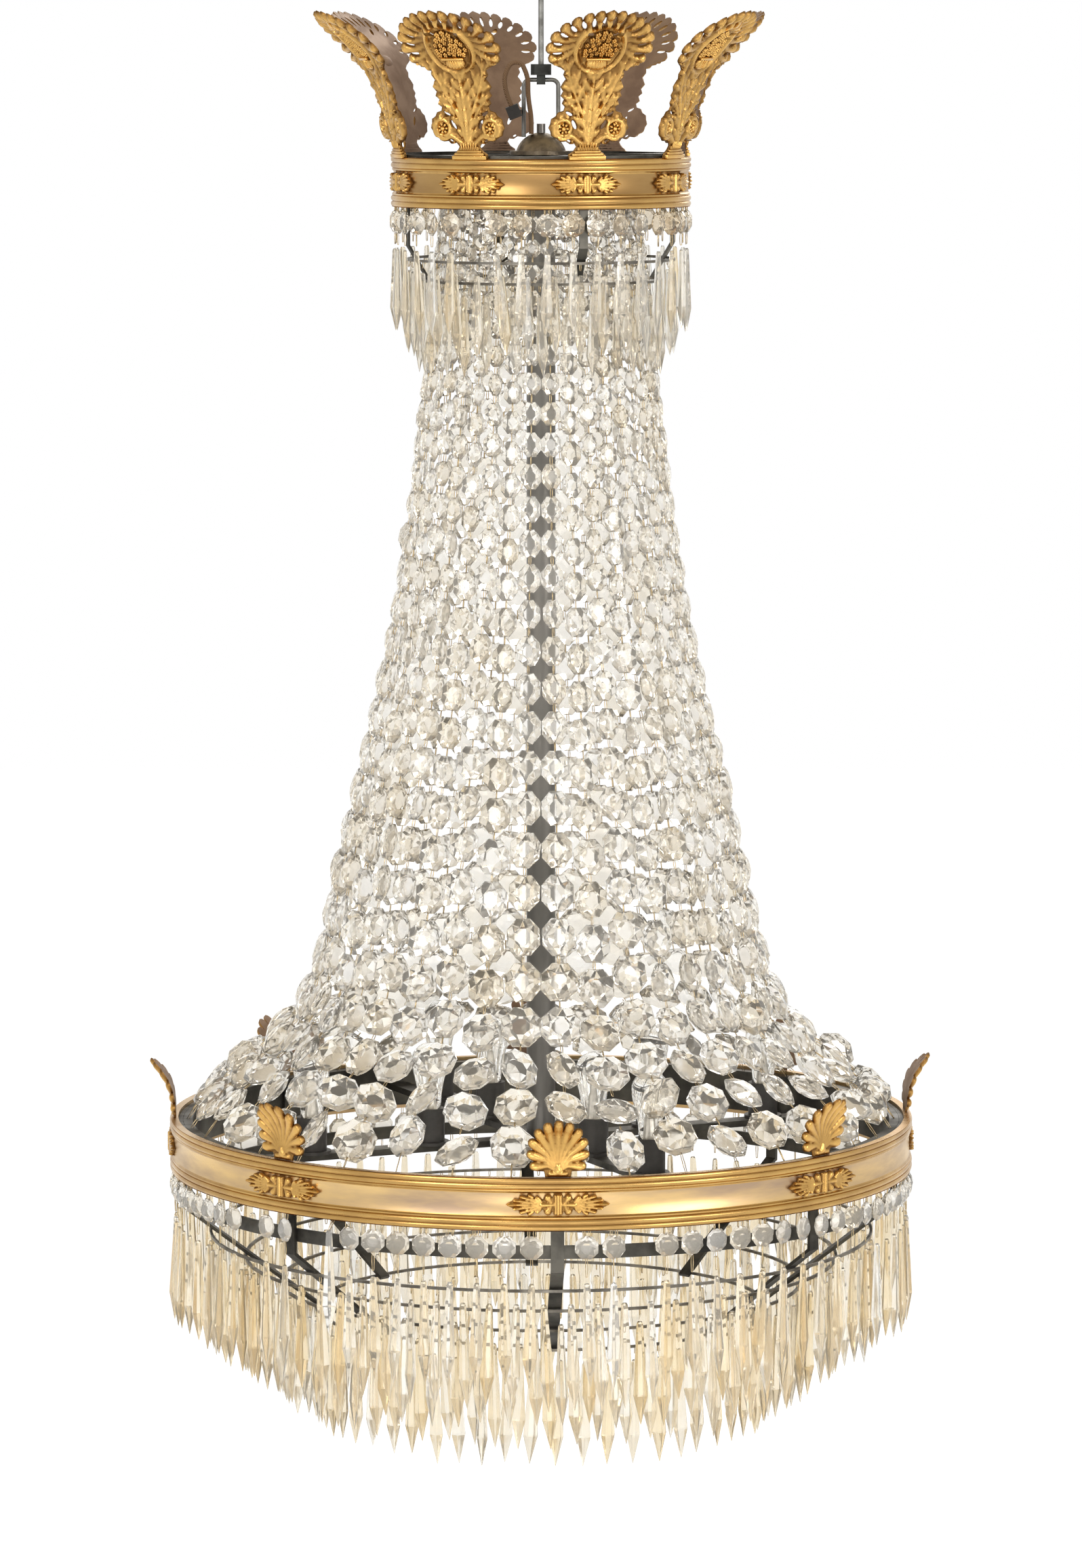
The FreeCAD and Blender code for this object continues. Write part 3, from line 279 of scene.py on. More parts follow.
def band_profile(r, foot, top, wall):
    """The band's section as (radius, z) corners, from its inner foot round to its inner top."""
    moulding = [(r - BAND_EDGE_IN, 0.0)]
    for reed in range(2):
        base = REED_GAP + reed * (REED_HEIGHT + REED_GAP)
        for step in range(7):
            turn = pi * step / 6
            moulding.append((r - REED_PROUD * (1 - sin(turn)),
                             base + REED_HEIGHT * (1 - cos(turn)) / 2))
    shelf = r - BAND_RECESS + FILLET_PROUD
    edge_up, edge_in = FILLET_EDGE
    moulding += [(shelf, FILLET_FOOT), (shelf, FILLET_TOP), (shelf - edge_in, edge_up),
                 (r - BAND_RECESS, BAND_MOULD)]
    below = [(out, foot + up) for out, up in moulding]
    above = [(out, top - up) for out, up in reversed(moulding)]
    return [(r - wall, foot)] + below + above + [(r - wall, top)]


def sharpen(bm, angle):
    """Smooth faces, with a crisp line wherever two of them meet at more than the angle."""
    for face in bm.faces:
        face.smooth = True
    for edge in bm.edges:
        if len(edge.link_faces) == 2:
            edge.smooth = edge.calc_face_angle(0.0) < radians(angle)


def finish_piece(bm, name, materials, node, body="chandelier"):
    """Make a finished mesh into a piece that rides on its body in place of its CAD node."""
    mesh = kept_mesh(bm, name)
    for material in materials:
        mesh.materials.append(material)
    piece = into_scene(name, mesh)
    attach(piece, body)
    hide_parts(node)


gilt_reeds = metal("gilt reeds", (0.57, 0.355, 0.12), (0.42, 0.25, 0.085), (0.20, 0.34), 18.0, bump=0.05,
                   stretch=(1.0, 1.0, 2.0))
upper_frieze = metal("upper frieze", (0.42, 0.26, 0.10), (0.33, 0.195, 0.075), (0.28, 0.40), 9.0,
                     bump=0.06, stretch=(1.0, 1.0, 4.0))
lower_frieze = metal("lower frieze", (0.77, 0.53, 0.23), (0.42, 0.30, 0.20), (0.26, 0.42), 5.5,
                     bump=0.06, stretch=(1.0, 1.0, 5.0))

BAND_STEPS = {"upper_band": 192, "lower_band": 288}
BAND_WALL = {"upper_band": 0.0054, "lower_band": 0.0080}
for name, frieze in (("upper_band", upper_frieze), ("lower_band", lower_frieze)):
    low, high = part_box(name)
    bm = bmesh.new()
    corners = [bm.verts.new((out, 0.0, up))
               for out, up in band_profile(high.x, low.z, high.z, BAND_WALL[name])]
    edges = [bm.edges.new(pair) for pair in zip(corners, corners[1:] + corners[:1])]
    bmesh.ops.spin(bm, geom=corners + edges, cent=(0, 0, 0), axis=(0, 0, 1), angle=2 * pi,
                   steps=BAND_STEPS[name], use_merge=True)
    bmesh.ops.remove_doubles(bm, verts=bm.verts, dist=1e-6)
    bmesh.ops.recalc_face_normals(bm, faces=bm.faces)
    sharpen(bm, BAND_CREASE)
    for face in bm.faces:
        middle = face.calc_center_median()
        if low.z + BAND_MOULD < middle.z < high.z - BAND_MOULD:
            face.material_index = 1
    finish_piece(bm, "gilt_" + name, [gilt_reeds, frieze], name)

# ------ crown palmettes
# Eight chased palmettes stand on the upper band and sweep outwards. Each is one casting: a stepped
# foot, two scrolls, acanthus leaves and a medallion with a bouquet, under a fan of fifteen lobes.
# The fronts are gilt, darkened in the hollows with painted shade, and the backs are matt brown.

PALMETTE_REACH = 83.0
PALMETTE_HEIGHT = 135.0
PALMETTE_FOOT_R = 0.1350
PALMETTE_SWEEP = (0.35, 4.0)  # share that leans straight, and power of the curve of the rest
PALMETTE_GRID = 1.5
SEAT_GAP = 0.00025
MM = 0.001
CAST_GROUND = 1.8
CAST_HOLLOW = 1.9  # up to here the relief takes painted shade, in the dull colour
CAST_BACK_GRID = 3.5  # how much coarser the flat back is than the front
CAST_CREASE = 55
CELL = 4.0
MEDALLION_Z = 101.0
MEDALLION_R = 22.5
FAN_LOBES = 15
FAN_HALF_WIDTH = 46.0
FAN_HALF_HEIGHT = 26.0
FAN_MIDDLE_Z = 103.0
FAN_LOBE_R = 5.0
SIDE_LEAVES = (
    # spine, breadth, height, pairs of lobes
    ([(2, 17), (4, 30), (8, 43), (14, 54), (19, 64), (23, 74)], 8.5, 2.9, 5),
    ([(6, 30), (10, 39), (15, 45), (20, 50), (24, 55)], 6.5, 2.6, 3),
    ([(3, 50), (7, 60), (14, 68), (19, 76)], 7.0, 2.3, 3),
    ([(20, 66), (24, 76), (31, 84), (38, 90)], 6.5, 2.4, 3),
    ([(20, 70), (25, 80), (28, 90), (30, 100)], 5.5, 2.0, 3),
)


def in_loop(x, z, loop):
    """Whether a point lies inside a closed loop of (x, z) points."""
    inside = False
    for (ax, az), (bx, bz) in zip(loop, loop[1:] + loop[:1]):
        if (az > z) != (bz > z) and x < ax + (z - az) / (bz - az) * (bx - ax):
            inside = not inside
    return inside


def on_plate(x, z, outline, holes):
    """Whether a point lies inside the outline and outside the holes."""
    return in_loop(x, z, outline) and not any(in_loop(x, z, hole) for hole in holes)


def in_cells(strokes):
    """The runs of all strokes, listed under each square cell of the plate that they touch."""
    cells = {}
    for stroke in strokes:
        for a, b in zip(stroke, stroke[1:]):
            wide = max(a[2], b[2])
            (left, right), (low, high) = [
                [int(value // CELL) for value in (min(a[k], b[k]) - wide, max(a[k], b[k]) + wide)]
                for k in (0, 1)]
            for col in range(left, right + 1):
                for row in range(low, high + 1):
                    cells.setdefault((col, row), []).append((a, b))
    return cells


def relief_height(x, z, cells):
    """Height of the highest stroke over a point, where each stroke is a rounded ridge."""
    best = 0.0
    here = (int(x // CELL), int(z // CELL))
    for (ax, az, a_half, a_high), (bx, bz, b_half, b_high) in cells.get(here, ()):
        run_x, run_z = bx - ax, bz - az
        share = ((x - ax) * run_x + (z - az) * run_z) / max(run_x ** 2 + run_z ** 2, 1e-9)
        share = min(max(share, 0.0), 1.0)
        half = a_half + (b_half - a_half) * share
        apart = hypot(x - ax - run_x * share, z - az - run_z * share) / half
        if apart < 1.0:
            best = max(best, (a_high + (b_high - a_high) * share) * (1.0 - apart ** 2) ** 0.6)
    return best


def free_points(outline, holes, grid):
    """Points on a staggered grid inside the outline, clear of it and of the holes."""
    points = []
    low_z, high_z = min(z for _, z in outline), max(z for _, z in outline)
    wide = max(abs(x) for x, _ in outline)
    edge = [point for loop in [outline] + holes for point in loop]
    for row in range(int((high_z - low_z) / grid) + 1):
        z = low_z + (row + 0.5) * grid
        beside = [point for point in edge if abs(point[1] - z) < grid * 0.45]
        for col in range(-int(wide / grid) - 1, int(wide / grid) + 2):
            x = (col + 0.5 * (row % 2)) * grid
            if any(dist((x, z), point) < grid * 0.45 for point in beside):
                continue
            if on_plate(x, z, outline, holes):
                points.append((x, z))
    return points


def triangulated(outline, holes, grid):
    """Corners, triangles and rim edges of a plate. The corners of the rim come first."""
    corners, edges = [], []
    for loop in [outline] + holes:
        first, count = len(corners), len(loop)
        corners += [Vector(point) for point in loop]
        edges += [(first + n, first + (n + 1) % count) for n in range(count)]
    corners += [Vector(point) for point in free_points(outline, holes, grid)]
    corners, _, faces, _, _, _ = geometry.delaunay_2d_cdt(corners, edges, [], 0, 1e-5)
    kept = []
    for face in faces:
        x = sum(corners[n].x for n in face) / 3
        z = sum(corners[n].y for n in face) / 3
        if on_plate(x, z, outline, holes):
            kept.append(face)
    return corners, kept, edges


def add_cast(bm, outline, holes, strokes, grid):
    """Add a cast plate, flat at the back, with its strokes in relief on the front."""
    cells = in_cells(strokes)
    corners, faces, edges = triangulated(outline, holes, grid)
    rim = len(edges)
    front = []
    for number, (x, z) in enumerate(corners):
        high = CAST_GROUND * 0.75 if number < rim else CAST_GROUND + relief_height(x, z, cells)
        front.append(bm.verts.new((x, -high, z)))
    for face in faces:
        bm.faces.new([front[n] for n in face])
    corners, faces, _ = triangulated(outline, holes, grid * CAST_BACK_GRID)
    back = [bm.verts.new((x, 0.0, z)) for x, z in corners]
    for face in faces:
        bm.faces.new([back[n] for n in reversed(face)])
    for a, b in edges:
        bm.faces.new((front[a], front[b], back[b], back[a]))
    bmesh.ops.delete(bm, geom=[vert for vert in bm.verts if not vert.link_faces], context="VERTS")
    bmesh.ops.recalc_face_normals(bm, faces=bm.faces)


def add_boss(bm, x, lift, z, size, turn=0.0, segments=8, rings=5):
    """Add a rounded boss of (across, deep, along) size, turned in the plate's plane."""
    place = Matrix.Translation((x, -lift, z)) @ Matrix.Rotation(turn, 4, "Y")
    scale = Matrix.Diagonal((size[0] / 2, size[1] / 2, size[2] / 2, 1.0))
    bmesh.ops.create_uvsphere(bm, u_segments=segments, v_segments=rings, radius=1.0,
                              matrix=place @ scale)


def add_block(bm, x, lift, z, size, bevel=0.4):
    """Add a block of (wide, deep, high) size with small rounded edges."""
    place = Matrix.Translation((x, -lift, z)) @ Matrix.Diagonal((*size, 1.0))
    made = bmesh.ops.create_cube(bm, size=1.0, matrix=place)
    edges = list({edge for vert in made["verts"] for edge in vert.link_edges})
    bmesh.ops.bevel(bm, geom=edges, offset=bevel, affect="EDGES", segments=2, profile=0.5,
                    material=-1)


def spine_point(spine, share):
    """The place and the direction at a share of the way along a bent spine of (x, z) points."""
    lengths = [dist(a, b) for a, b in zip(spine, spine[1:])]
    rest = share * sum(lengths)
    for a, b, long in zip(spine, spine[1:], lengths):
        if rest <= long or b == spine[-1]:
            way = ((b[0] - a[0]) / long, (b[1] - a[1]) / long)
            return (a[0] + way[0] * rest, a[1] + way[1] * rest), way
        rest -= long


def acanthus(spine, breadth, high, pairs=5, spread=50.0):
    """A leaf in relief: a midrib along the spine, and broad lobes that open to both sides."""
    strokes = []
    for pair in range(pairs):
        share = 0.06 + 0.74 * pair / max(pairs - 1, 1)
        (x, z), (way_x, way_z) = spine_point(spine, share)
        long = breadth * (0.72 + 0.5 * sin(pi * share))
        wide = breadth * 0.37
        for side in (-1, 1):
            turn = radians(spread * side)
            out_x = way_x * cos(turn) - way_z * sin(turn)
            out_z = way_x * sin(turn) + way_z * cos(turn)
            strokes.append([(x, z, wide * 0.7, high * 0.55),
                            (x + out_x * long * 0.5, z + out_z * long * 0.5, wide, high * 0.8),
                            (x + out_x * long + way_x * long * 0.25,
                             z + out_z * long + way_z * long * 0.25, wide * 0.72, high * 0.94)])
    rib = []
    for step in range(9):
        (x, z), _ = spine_point(spine, step / 8 * 0.9999)
        swell = 1.0 + 0.25 * sin(pi * step / 8)
        rib.append((x, z, breadth * (0.26 - 0.015 * step), high * swell))
    return strokes + [rib]


def scroll(centre, start, turns, wide, tight, thick, thin, high):
    """A volute in relief that winds from its wide outer turn in to its tight eye."""
    count = int(abs(turns) * 12)
    stroke = []
    for step in range(count + 1):
        share = step / count
        angle = radians(start) + turns * 2 * pi * share
        radius = wide + (tight - wide) * share
        stroke.append((centre[0] + radius * cos(angle), centre[1] + radius * sin(angle),
                       thick + (thin - thick) * share, high * (1.0 + 0.2 * share)))
    return stroke


def fan_places():
    """Lobe centres and directions at even steps along the fan's arch, from left to right."""
    arch = []
    for step in range(241):
        angle = radians(206.0 - 232.0 * step / 240)
        arch.append((FAN_HALF_WIDTH * cos(angle),
                     FAN_MIDDLE_Z + FAN_HALF_HEIGHT * sin(angle)))
    places = []
    for lobe in range(FAN_LOBES):
        (x, z), _ = spine_point(arch, lobe / (FAN_LOBES - 1) * 0.9999)
        places.append((x, z, atan2(x, z - MEDALLION_Z + 6.0)))
    return places


def palmette_outline(places):
    """The plate's edge: foot, neck, the round of the scroll, the leaf tips and the fan's lobes."""
    half = [(17.5, 0), (17.5, 4), (13, 7), (10.5, 11), (13, 14.5), (17, 13.5), (21, 16), (26, 15.5),
            (30, 18.5), (35, 21), (36, 25), (38, 28), (36.5, 32), (36, 36), (32, 38.5), (30, 42), (25, 43.5),
            (24, 47), (27, 50), (25.5, 54), (29, 57), (27, 61), (30, 65), (28, 69), (26, 72), (29, 76),
            (28, 80), (33, 83), (38, 85)]
    right = []
    for x, z, turn in reversed(places):
        if x < 0.01:
            continue
        for step in range(5):
            around = turn + radians(76.0 - 38.0 * step)
            right.append((x + FAN_LOBE_R * sin(around), z + FAN_LOBE_R * cos(around)))
    top = []
    for angle in (radians(50), 0.0):
        top.append((4.6 * sin(angle), FAN_MIDDLE_Z + FAN_HALF_HEIGHT + FAN_LOBE_R * cos(angle)))
    edge = half + right + top
    return edge + [(-x, z) for x, z in reversed(edge[:-1])]


def slot_hole(x, z, turn, long, wide):
    """A slim pointed hole whose length lies along the turn."""
    loop = []
    for step in range(10):
        angle = 2 * pi * step / 10
        across, along = wide / 2 * cos(angle), long / 2 * sin(angle)
        loop.append((x + across * cos(turn) + along * sin(turn),
                     z - across * sin(turn) + along * cos(turn)))
    return loop


def palmette_strokes(places):
    """All of a palmette's relief: lobes, medallion frame, leaves and scrolls."""
    strokes = []
    for x, z, turn in places:
        start = MEDALLION_R + 1.5
        ax, az = start * sin(turn), MEDALLION_Z + start * cos(turn)
        bend = 2.2 if x > 0 else -2.2 if x < 0 else 0.0
        middle_x, middle_z = (ax + x) / 2 + bend * cos(turn), (az + z) / 2 - bend * sin(turn)
        strokes += [[(ax, az, 1.8, 1.2), (middle_x, middle_z, 2.8, 2.2), (x, z, 4.5, 3.0),
                     (x + 1.6 * sin(turn), z + 1.6 * cos(turn), 4.0, 3.0)],
                    [(middle_x, middle_z, 0.8, 2.6), (x, z, 1.6, 3.9),
                     (x + 2.0 * sin(turn), z + 2.0 * cos(turn), 1.8, 4.0)]]
    for radius, half, high in ((MEDALLION_R, 2.6, 3.4), (MEDALLION_R - 4.2, 1.0, 1.6)):
        ring = []
        for step in range(33):
            angle = radians(-90.0 + 360.0 * step / 32)
            ring.append((radius * cos(angle), MEDALLION_Z + radius * sin(angle),
                         half * (1.0 + 0.3 * sin(angle)), high * (1.0 + 0.25 * sin(angle))))
        strokes.append(ring)
    for side in (-1, 1):
        for spine, breadth, high, pairs in SIDE_LEAVES:
            strokes += acanthus([(side * x, z) for x, z in spine], breadth, high, pairs)
        eye = (side * 24.5, 28.0)
        strokes.append([(side * 4, 13, 2.4, 2.2), (side * 9, 16, 2.6, 2.6), (side * 14.5, 20.5, 2.7, 3.0)])
        strokes.append(scroll(eye, -140.0 if side > 0 else -40.0, side * 1.6, 10.4, 4.8, 2.8, 1.4, 3.0))
        for leaf in range(8):
            angle = radians(-80.0 + 32.0 * leaf)
            across, up = side * cos(angle), sin(angle)
            strokes.append([(eye[0] + 8.6 * across, eye[1] + 8.6 * up, 1.6, 1.4),
                            (eye[0] + 11.4 * across, eye[1] + 11.4 * up, 1.7, 2.6)])
        strokes.append(scroll((side * 15.0, 12.0), -100.0 if side > 0 else -80.0, side * 1.2, 4.0, 1.2,
                              1.5, 1.0, 2.2))
    strokes += acanthus([(0, 14), (0, 28), (0, 42), (0, 54)], 9.0, 3.2, 5, 34.0)
    strokes += acanthus([(0, 50), (0, 60), (0, 70), (0, 78)], 8.5, 2.8, 3)
    return strokes


def flat_palmette():
    """One palmette, flat and upright, in millimetres, with its front towards -Y."""
    bm = bmesh.new()
    places = fan_places()
    holes = []
    for (xa, za, ta), (xb, zb, tb) in zip(places, places[1:]):
        turn = (ta + tb) / 2
        holes.append(slot_hole((xa + xb) / 2 - 4.8 * sin(turn), (za + zb) / 2 - 4.8 * cos(turn),
                               turn, 9.4, 3.6))
    for side in (-1, 1):
        for x, z, turn, long, wide in ((14.0, 31.0, 0.5, 9.5, 3.4), (18.0, 16.5, 1.1, 4.0, 1.8),
                                       (19.5, 41.0, 1.1, 7.5, 2.6), (12.6, 114.0, 0.95, 9.0, 3.6)):
            holes.append(slot_hole(side * x, z, side * turn, long, wide))
    add_cast(bm, palmette_outline(places), holes, palmette_strokes(places), PALMETTE_GRID)

    for side in (-1, 1):
        add_boss(bm, side * 24.5, CAST_GROUND + 1.6, 28.0, (4.6, 6.0, 4.6))
        for petal in range(7):
            angle = tau * petal / 7
            add_boss(bm, side * 24.5 + 3.7 * cos(angle), CAST_GROUND + 1.0,
                     28.0 + 3.7 * sin(angle), (2.9, 4.6, 3.9), pi / 2 - angle, 7, 5)
    add_boss(bm, 0, CAST_GROUND + 0.4, 87.5, (21.0, 8.4, 12.0), 0.0, 14, 8)
    add_block(bm, 0, CAST_GROUND + 2.8, 93.0, (23.0, 4.0, 2.2), 0.8)
    for flute in range(-3, 4):
        add_boss(bm, flute * 2.6, CAST_GROUND + 4.2 - 0.24 * flute ** 2, 88.0, (1.7, 2.0, 8.6),
                 flute * -0.1, 6, 5)
    bouquet = random.Random(11)
    for row, (height, count, spread) in enumerate(((97.0, 6, 25.0), (101.5, 7, 29.0), (106.0, 6, 27.0),
                                                   (110.5, 5, 21.0), (114.5, 3, 11.0))):
        for flower in range(count):
            x = (flower / (count - 1) - 0.5) * spread + bouquet.uniform(-0.8, 0.8)
            z = height + bouquet.uniform(-1.0, 1.0) - abs(x) * 0.12
            size = bouquet.uniform(4.0, 5.8)
            lift = CAST_GROUND + 0.6 + bouquet.uniform(0.0, 0.8)
            for petal in range(5):
                angle = tau * (petal + bouquet.random() * 0.3) / 5
                add_boss(bm, x + size * 0.30 * cos(angle), lift, z + size * 0.30 * sin(angle),
                         (size * 0.5, 4.4, size * 0.5), 0.0, 6, 4)
            add_boss(bm, x, lift + 1.0, z, (1.6, 4.0, 1.6), 0.0, 6, 4)
    for wide, high, z, deep in ((35.0, 3.4, 1.7, 5.2), (30.0, 2.4, 4.6, 4.6), (25.0, 2.2, 6.9, 4.0),
                                (20.0, 3.4, 9.6, 3.4)):
        add_block(bm, 0, deep / 2, z, (wide, deep, high), 0.5)
    for reed in range(-3, 4):
        add_boss(bm, reed * 2.5, 3.0, 12.5, (2.2, 3.6, 9.0), reed * 0.06, 8, 6)
    return bm


def mark_relief_shade(bm, top):
    """Write how far each point stands out of the hollows, for the painted shade that darkens the gilding in
    them.
    """
    layer = bm.verts.layers.float.new("relief")
    for vert in bm.verts:
        vert[layer] = min(max((-vert.co.y - CAST_HOLLOW) / (top - CAST_HOLLOW), 0.0), 1.0)


def mark_back(bm):
    """Give the flat back of a casting the second material."""
    for face in bm.faces:
        face.material_index = 1 if face.calc_center_median().y > -0.05 else 0


def bend_up(bm, reach, height, sweep, foot_r, foot_z):
    """Bend a flat casting outwards and set it up in front."""
    straight, power = sweep
    for vert in bm.verts:
        x, lift, z = vert.co.x, -vert.co.y, vert.co.z
        share = max(z / height, 0.0)
        out = reach * (straight * share + (1 - straight) * share ** power)
        slope = reach / height * (straight + (1 - straight) * power * share ** (power - 1))
        long = hypot(1.0, slope)
        vert.co = (x * MM, -(foot_r + (out + lift / long) * MM),
                   foot_z + (z - lift * slope / long) * MM)


# The dull colour of the cast gilt is painted shade, which the relief attribute puts in the hollows.
cast_gilt = metal("cast gilt", (0.68, 0.41, 0.125), (0.245, 0.13, 0.04), (0.24, 0.5), 90.0, relief="relief",
                  bump=0.25)
cast_back = metal("cast back", (0.33, 0.22, 0.145), (0.235, 0.15, 0.10), (0.5, 0.7), 30.0,
                  metallic=0.55)

bm = flat_palmette()
mark_back(bm)
mark_relief_shade(bm, top=5.4)
bend_up(bm, PALMETTE_REACH, PALMETTE_HEIGHT, PALMETTE_SWEEP, PALMETTE_FOOT_R,
        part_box("upper_band")[1].z + SEAT_GAP)
sharpen(bm, CAST_CREASE)
palmette_cast = kept_mesh(bm, "palmette cast")


def azimuth_of(node):
    """The azimuth of a CAD piece from the front, positive towards +X."""
    low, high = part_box(node)
    return atan2(low.x + high.x, -(low.y + high.y))


def add_copy(bm, mesh, place):
    """Add a copy of a mesh at its place."""
    first = len(bm.verts)
    bm.from_mesh(mesh)
    bm.verts.ensure_lookup_table()
    bmesh.ops.transform(bm, matrix=place, verts=bm.verts[first:])


palmette_azimuths = []
for number in range(1, 9):
    node = f"crown_palmette_{number}"
    palmette_azimuths.append(azimuth_of(node))
    bm = bmesh.new()
    add_copy(bm, palmette_cast, Matrix.Rotation(palmette_azimuths[-1], 4, "Z"))
    finish_piece(bm, f"palmette_{number}", [cast_gilt, cast_back], node)

# ------ frieze mounts
# Small cast mounts are pinned to both friezes: a ribbed knot between two pointed palm leaves.
# They are gilt like the crown, and painted brown in the low gaps of the leaves as shade.

FRIEZE_HEIGHT = {"upper": 17.5, "lower": 19.5}
MOUNT_LENGTH = {"upper": 67.0, "lower": 93.0}
MOUNT_GRID = 0.9
SHELL_AZIMUTH = radians(2.5)


def flat_mount(length, height):
    """One mount, flat, in millimetres, centred on its knot."""
    bm = bmesh.new()
    half_l, half_h = length / 2, height / 2
    edge = [(0.08, 0.94), (0.11, 0.62), (0.15, 0.92), (0.21, 0.97), (0.26, 0.80), (0.29, 0.42), (0.34, 0.62),
            (0.40, 0.84), (0.45, 0.66), (0.52, 0.97), (0.58, 0.97), (0.61, 0.74), (0.69, 0.88), (0.74, 0.80),
            (0.76, 0.50), (0.84, 0.54), (0.88, 0.30), (0.94, 0.16), (1.0, 0.0)]
    right = [(x * half_l, z * half_h) for x, z in edge]
    right += [(x, -z) for x, z in reversed(right[:-1])]
    outline = right + [(-x, -z) for x, z in right]
    strokes = []
    for side in (-1, 1):
        for x, z in ((0.40, 0.74), (0.55, 0.86), (0.71, 0.74), (0.84, 0.40), (0.96, 0.0)):
            for up in (-1, 1):
                tip_z = up * z * half_h
                strokes.append([(side * 0.30 * half_l, 0.0, 0.8, 1.4),
                                (side * (0.30 + (x - 0.30) * 0.5) * half_l, tip_z * 0.62, 1.5, 1.7),
                                (side * x * half_l, tip_z, 1.5, 2.4)])
        strokes.append([(side * 0.10 * half_l, 0.0, 1.6, 1.6), (side * 0.32 * half_l, 0.0, 2.4, 2.4)])
        for up in (-1, 1):
            strokes.append([(side * 0.13 * half_l, up * 0.16 * half_h, 1.2, 1.0),
                            (side * 0.20 * half_l, up * 0.62 * half_h, 0.32 * half_h, 2.2)])
    for x, half, high in ((-2.5, 1.1, 1.7), (0.0, 1.7, 2.7), (2.5, 1.1, 1.7)):
        strokes.append([(x, -half_h * 0.84, half, high), (x, half_h * 0.84, half, high)])
    add_cast(bm, outline, [], strokes, MOUNT_GRID)
    return bm


def wrap_round(bm, r, z):
    """Bend a flat casting round a band of radius r, in front, at height z."""
    for vert in bm.verts:
        turn, out = vert.co.x * MM / r, r - vert.co.y * MM
        vert.co = (out * sin(turn), -out * cos(turn), z + vert.co.z * MM)


def set_round(bm, azimuths):
    """Copy a finished front piece round the stem, once for each azimuth."""
    cast = bpy.data.meshes.new("cast")
    bm.to_mesh(cast)
    bm.clear()
    for azimuth in azimuths:
        add_copy(bm, cast, Matrix.Rotation(azimuth, 4, "Z"))
    bpy.data.meshes.remove(cast)


shell_azimuths = [SHELL_AZIMUTH + tau * number / 8 for number in range(8)]
for level, places in (("upper", palmette_azimuths), ("lower", shell_azimuths)):
    low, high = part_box(level + "_band")
    bm = flat_mount(MOUNT_LENGTH[level], FRIEZE_HEIGHT[level])
    mark_relief_shade(bm, top=4.0)
    wrap_round(bm, high.x - BAND_RECESS + SEAT_GAP, (low.z + high.z) / 2)
    sharpen(bm, CAST_CREASE)
    set_round(bm, places)
    finish_piece(bm, level + "_frieze_mounts", [cast_gilt],
                 level + "_mounts")

# ------ shells
# Eight shells stand on the lower band and lean outwards. Each is one thin casting with eleven
# round ribs that spread from its foot to a scalloped edge.

SHELL_REACH = 23.0
SHELL_HEIGHT = 55.0
SHELL_HALF_WIDTH = 28.5
SHELL_RIBS = 11
SHELL_LOBE = 4.4
SHELL_FOOT_R = 0.3440
SHELL_HINGE = 5.0
SHELL_MIDDLE = 23.1
SHELL_DROOP = 28.0
SHELL_SWEEP = (0.05, 3.2)
SHELL_GRID = 1.1

outline = [(11.5, 0.0), (11.8, 3.0), (12.6, 5.4)]
strokes = []
tips = []
for rib in range(SHELL_RIBS):
    turn = radians(-SHELL_DROOP + (180.0 + 2 * SHELL_DROOP) * rib / (SHELL_RIBS - 1))
    x = (SHELL_HALF_WIDTH - SHELL_LOBE) * cos(turn)
    z = SHELL_MIDDLE + (SHELL_HEIGHT - SHELL_MIDDLE - SHELL_LOBE) * sin(turn)
    tips.append((x, z, atan2(z - SHELL_HINGE, x)))
for number, (x, z, along) in enumerate(tips):
    for step in range(5):
        around = along + radians(-72.0 + 36.0 * step)
        outline.append((x + SHELL_LOBE * cos(around), z + SHELL_LOBE * sin(around)))
    if number < SHELL_RIBS - 1:
        next_x, next_z, _ = tips[number + 1]
        outline.append(((x + next_x) * 0.46, SHELL_HINGE + ((z + next_z) / 2 - SHELL_HINGE) * 0.92))
    middle_x, middle_z = x * 0.44, SHELL_HINGE + (z - SHELL_HINGE) * 0.50 + abs(cos(along)) * 3.2
    strokes.append([(x * 0.06, SHELL_HINGE + (z - SHELL_HINGE) * 0.10, 1.0, 1.6),
                    (middle_x, middle_z, 2.6, 2.0),
                    (x * 0.94, SHELL_HINGE + (z - SHELL_HINGE) * 0.95, 4.7, 3.2), (x, z, 4.6, 3.0)])
outline += [(-12.6, 5.4), (-11.8, 3.0), (-11.5, 0.0)]
strokes += [[(-7.0, 3.6, 2.6, 2.4), (7.0, 3.6, 2.6, 2.4)], [(0.0, 6.0, 4.4, 3.4), (0.0, 11.0, 2.0, 3.0)]]
bm = bmesh.new()
add_cast(bm, outline, [], strokes, SHELL_GRID)
mark_back(bm)
# Painted shade: the low ground between the ribs takes the cast gilt's dull colour.
mark_relief_shade(bm, top=4.6)
bend_up(bm, SHELL_REACH, SHELL_HEIGHT, SHELL_SWEEP, SHELL_FOOT_R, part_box("lower_band")[1].z + SEAT_GAP)
sharpen(bm, CAST_CREASE)
set_round(bm, shell_azimuths)
finish_piece(bm, "shells", [cast_gilt, cast_back], "lower_shells")

# ------ tent of octagons
# Thirty-nine strands hang from the upper hoop to the lower one. Each octagon is cut clear crystal
# with a table, eight stars, eight kites and eight girdle facets on both faces. Bent brass wire
# links join them, and every octagon has settled askew, most of all where the strands lie flat.

TABLE = 0.45
STAR = 0.80
GIRDLE = 0.12
STEEP_R = 0.19
FLAT_R = 0.30
TENT_TURNS = {"Z": (0.24, 0.16), "X": (0.05, 0.10), "Y": (0.05, 0.07)}  # where steep, more if flat
TENT_TINTS = (1.4, 3.0)
GLASS_IOR = 1.50


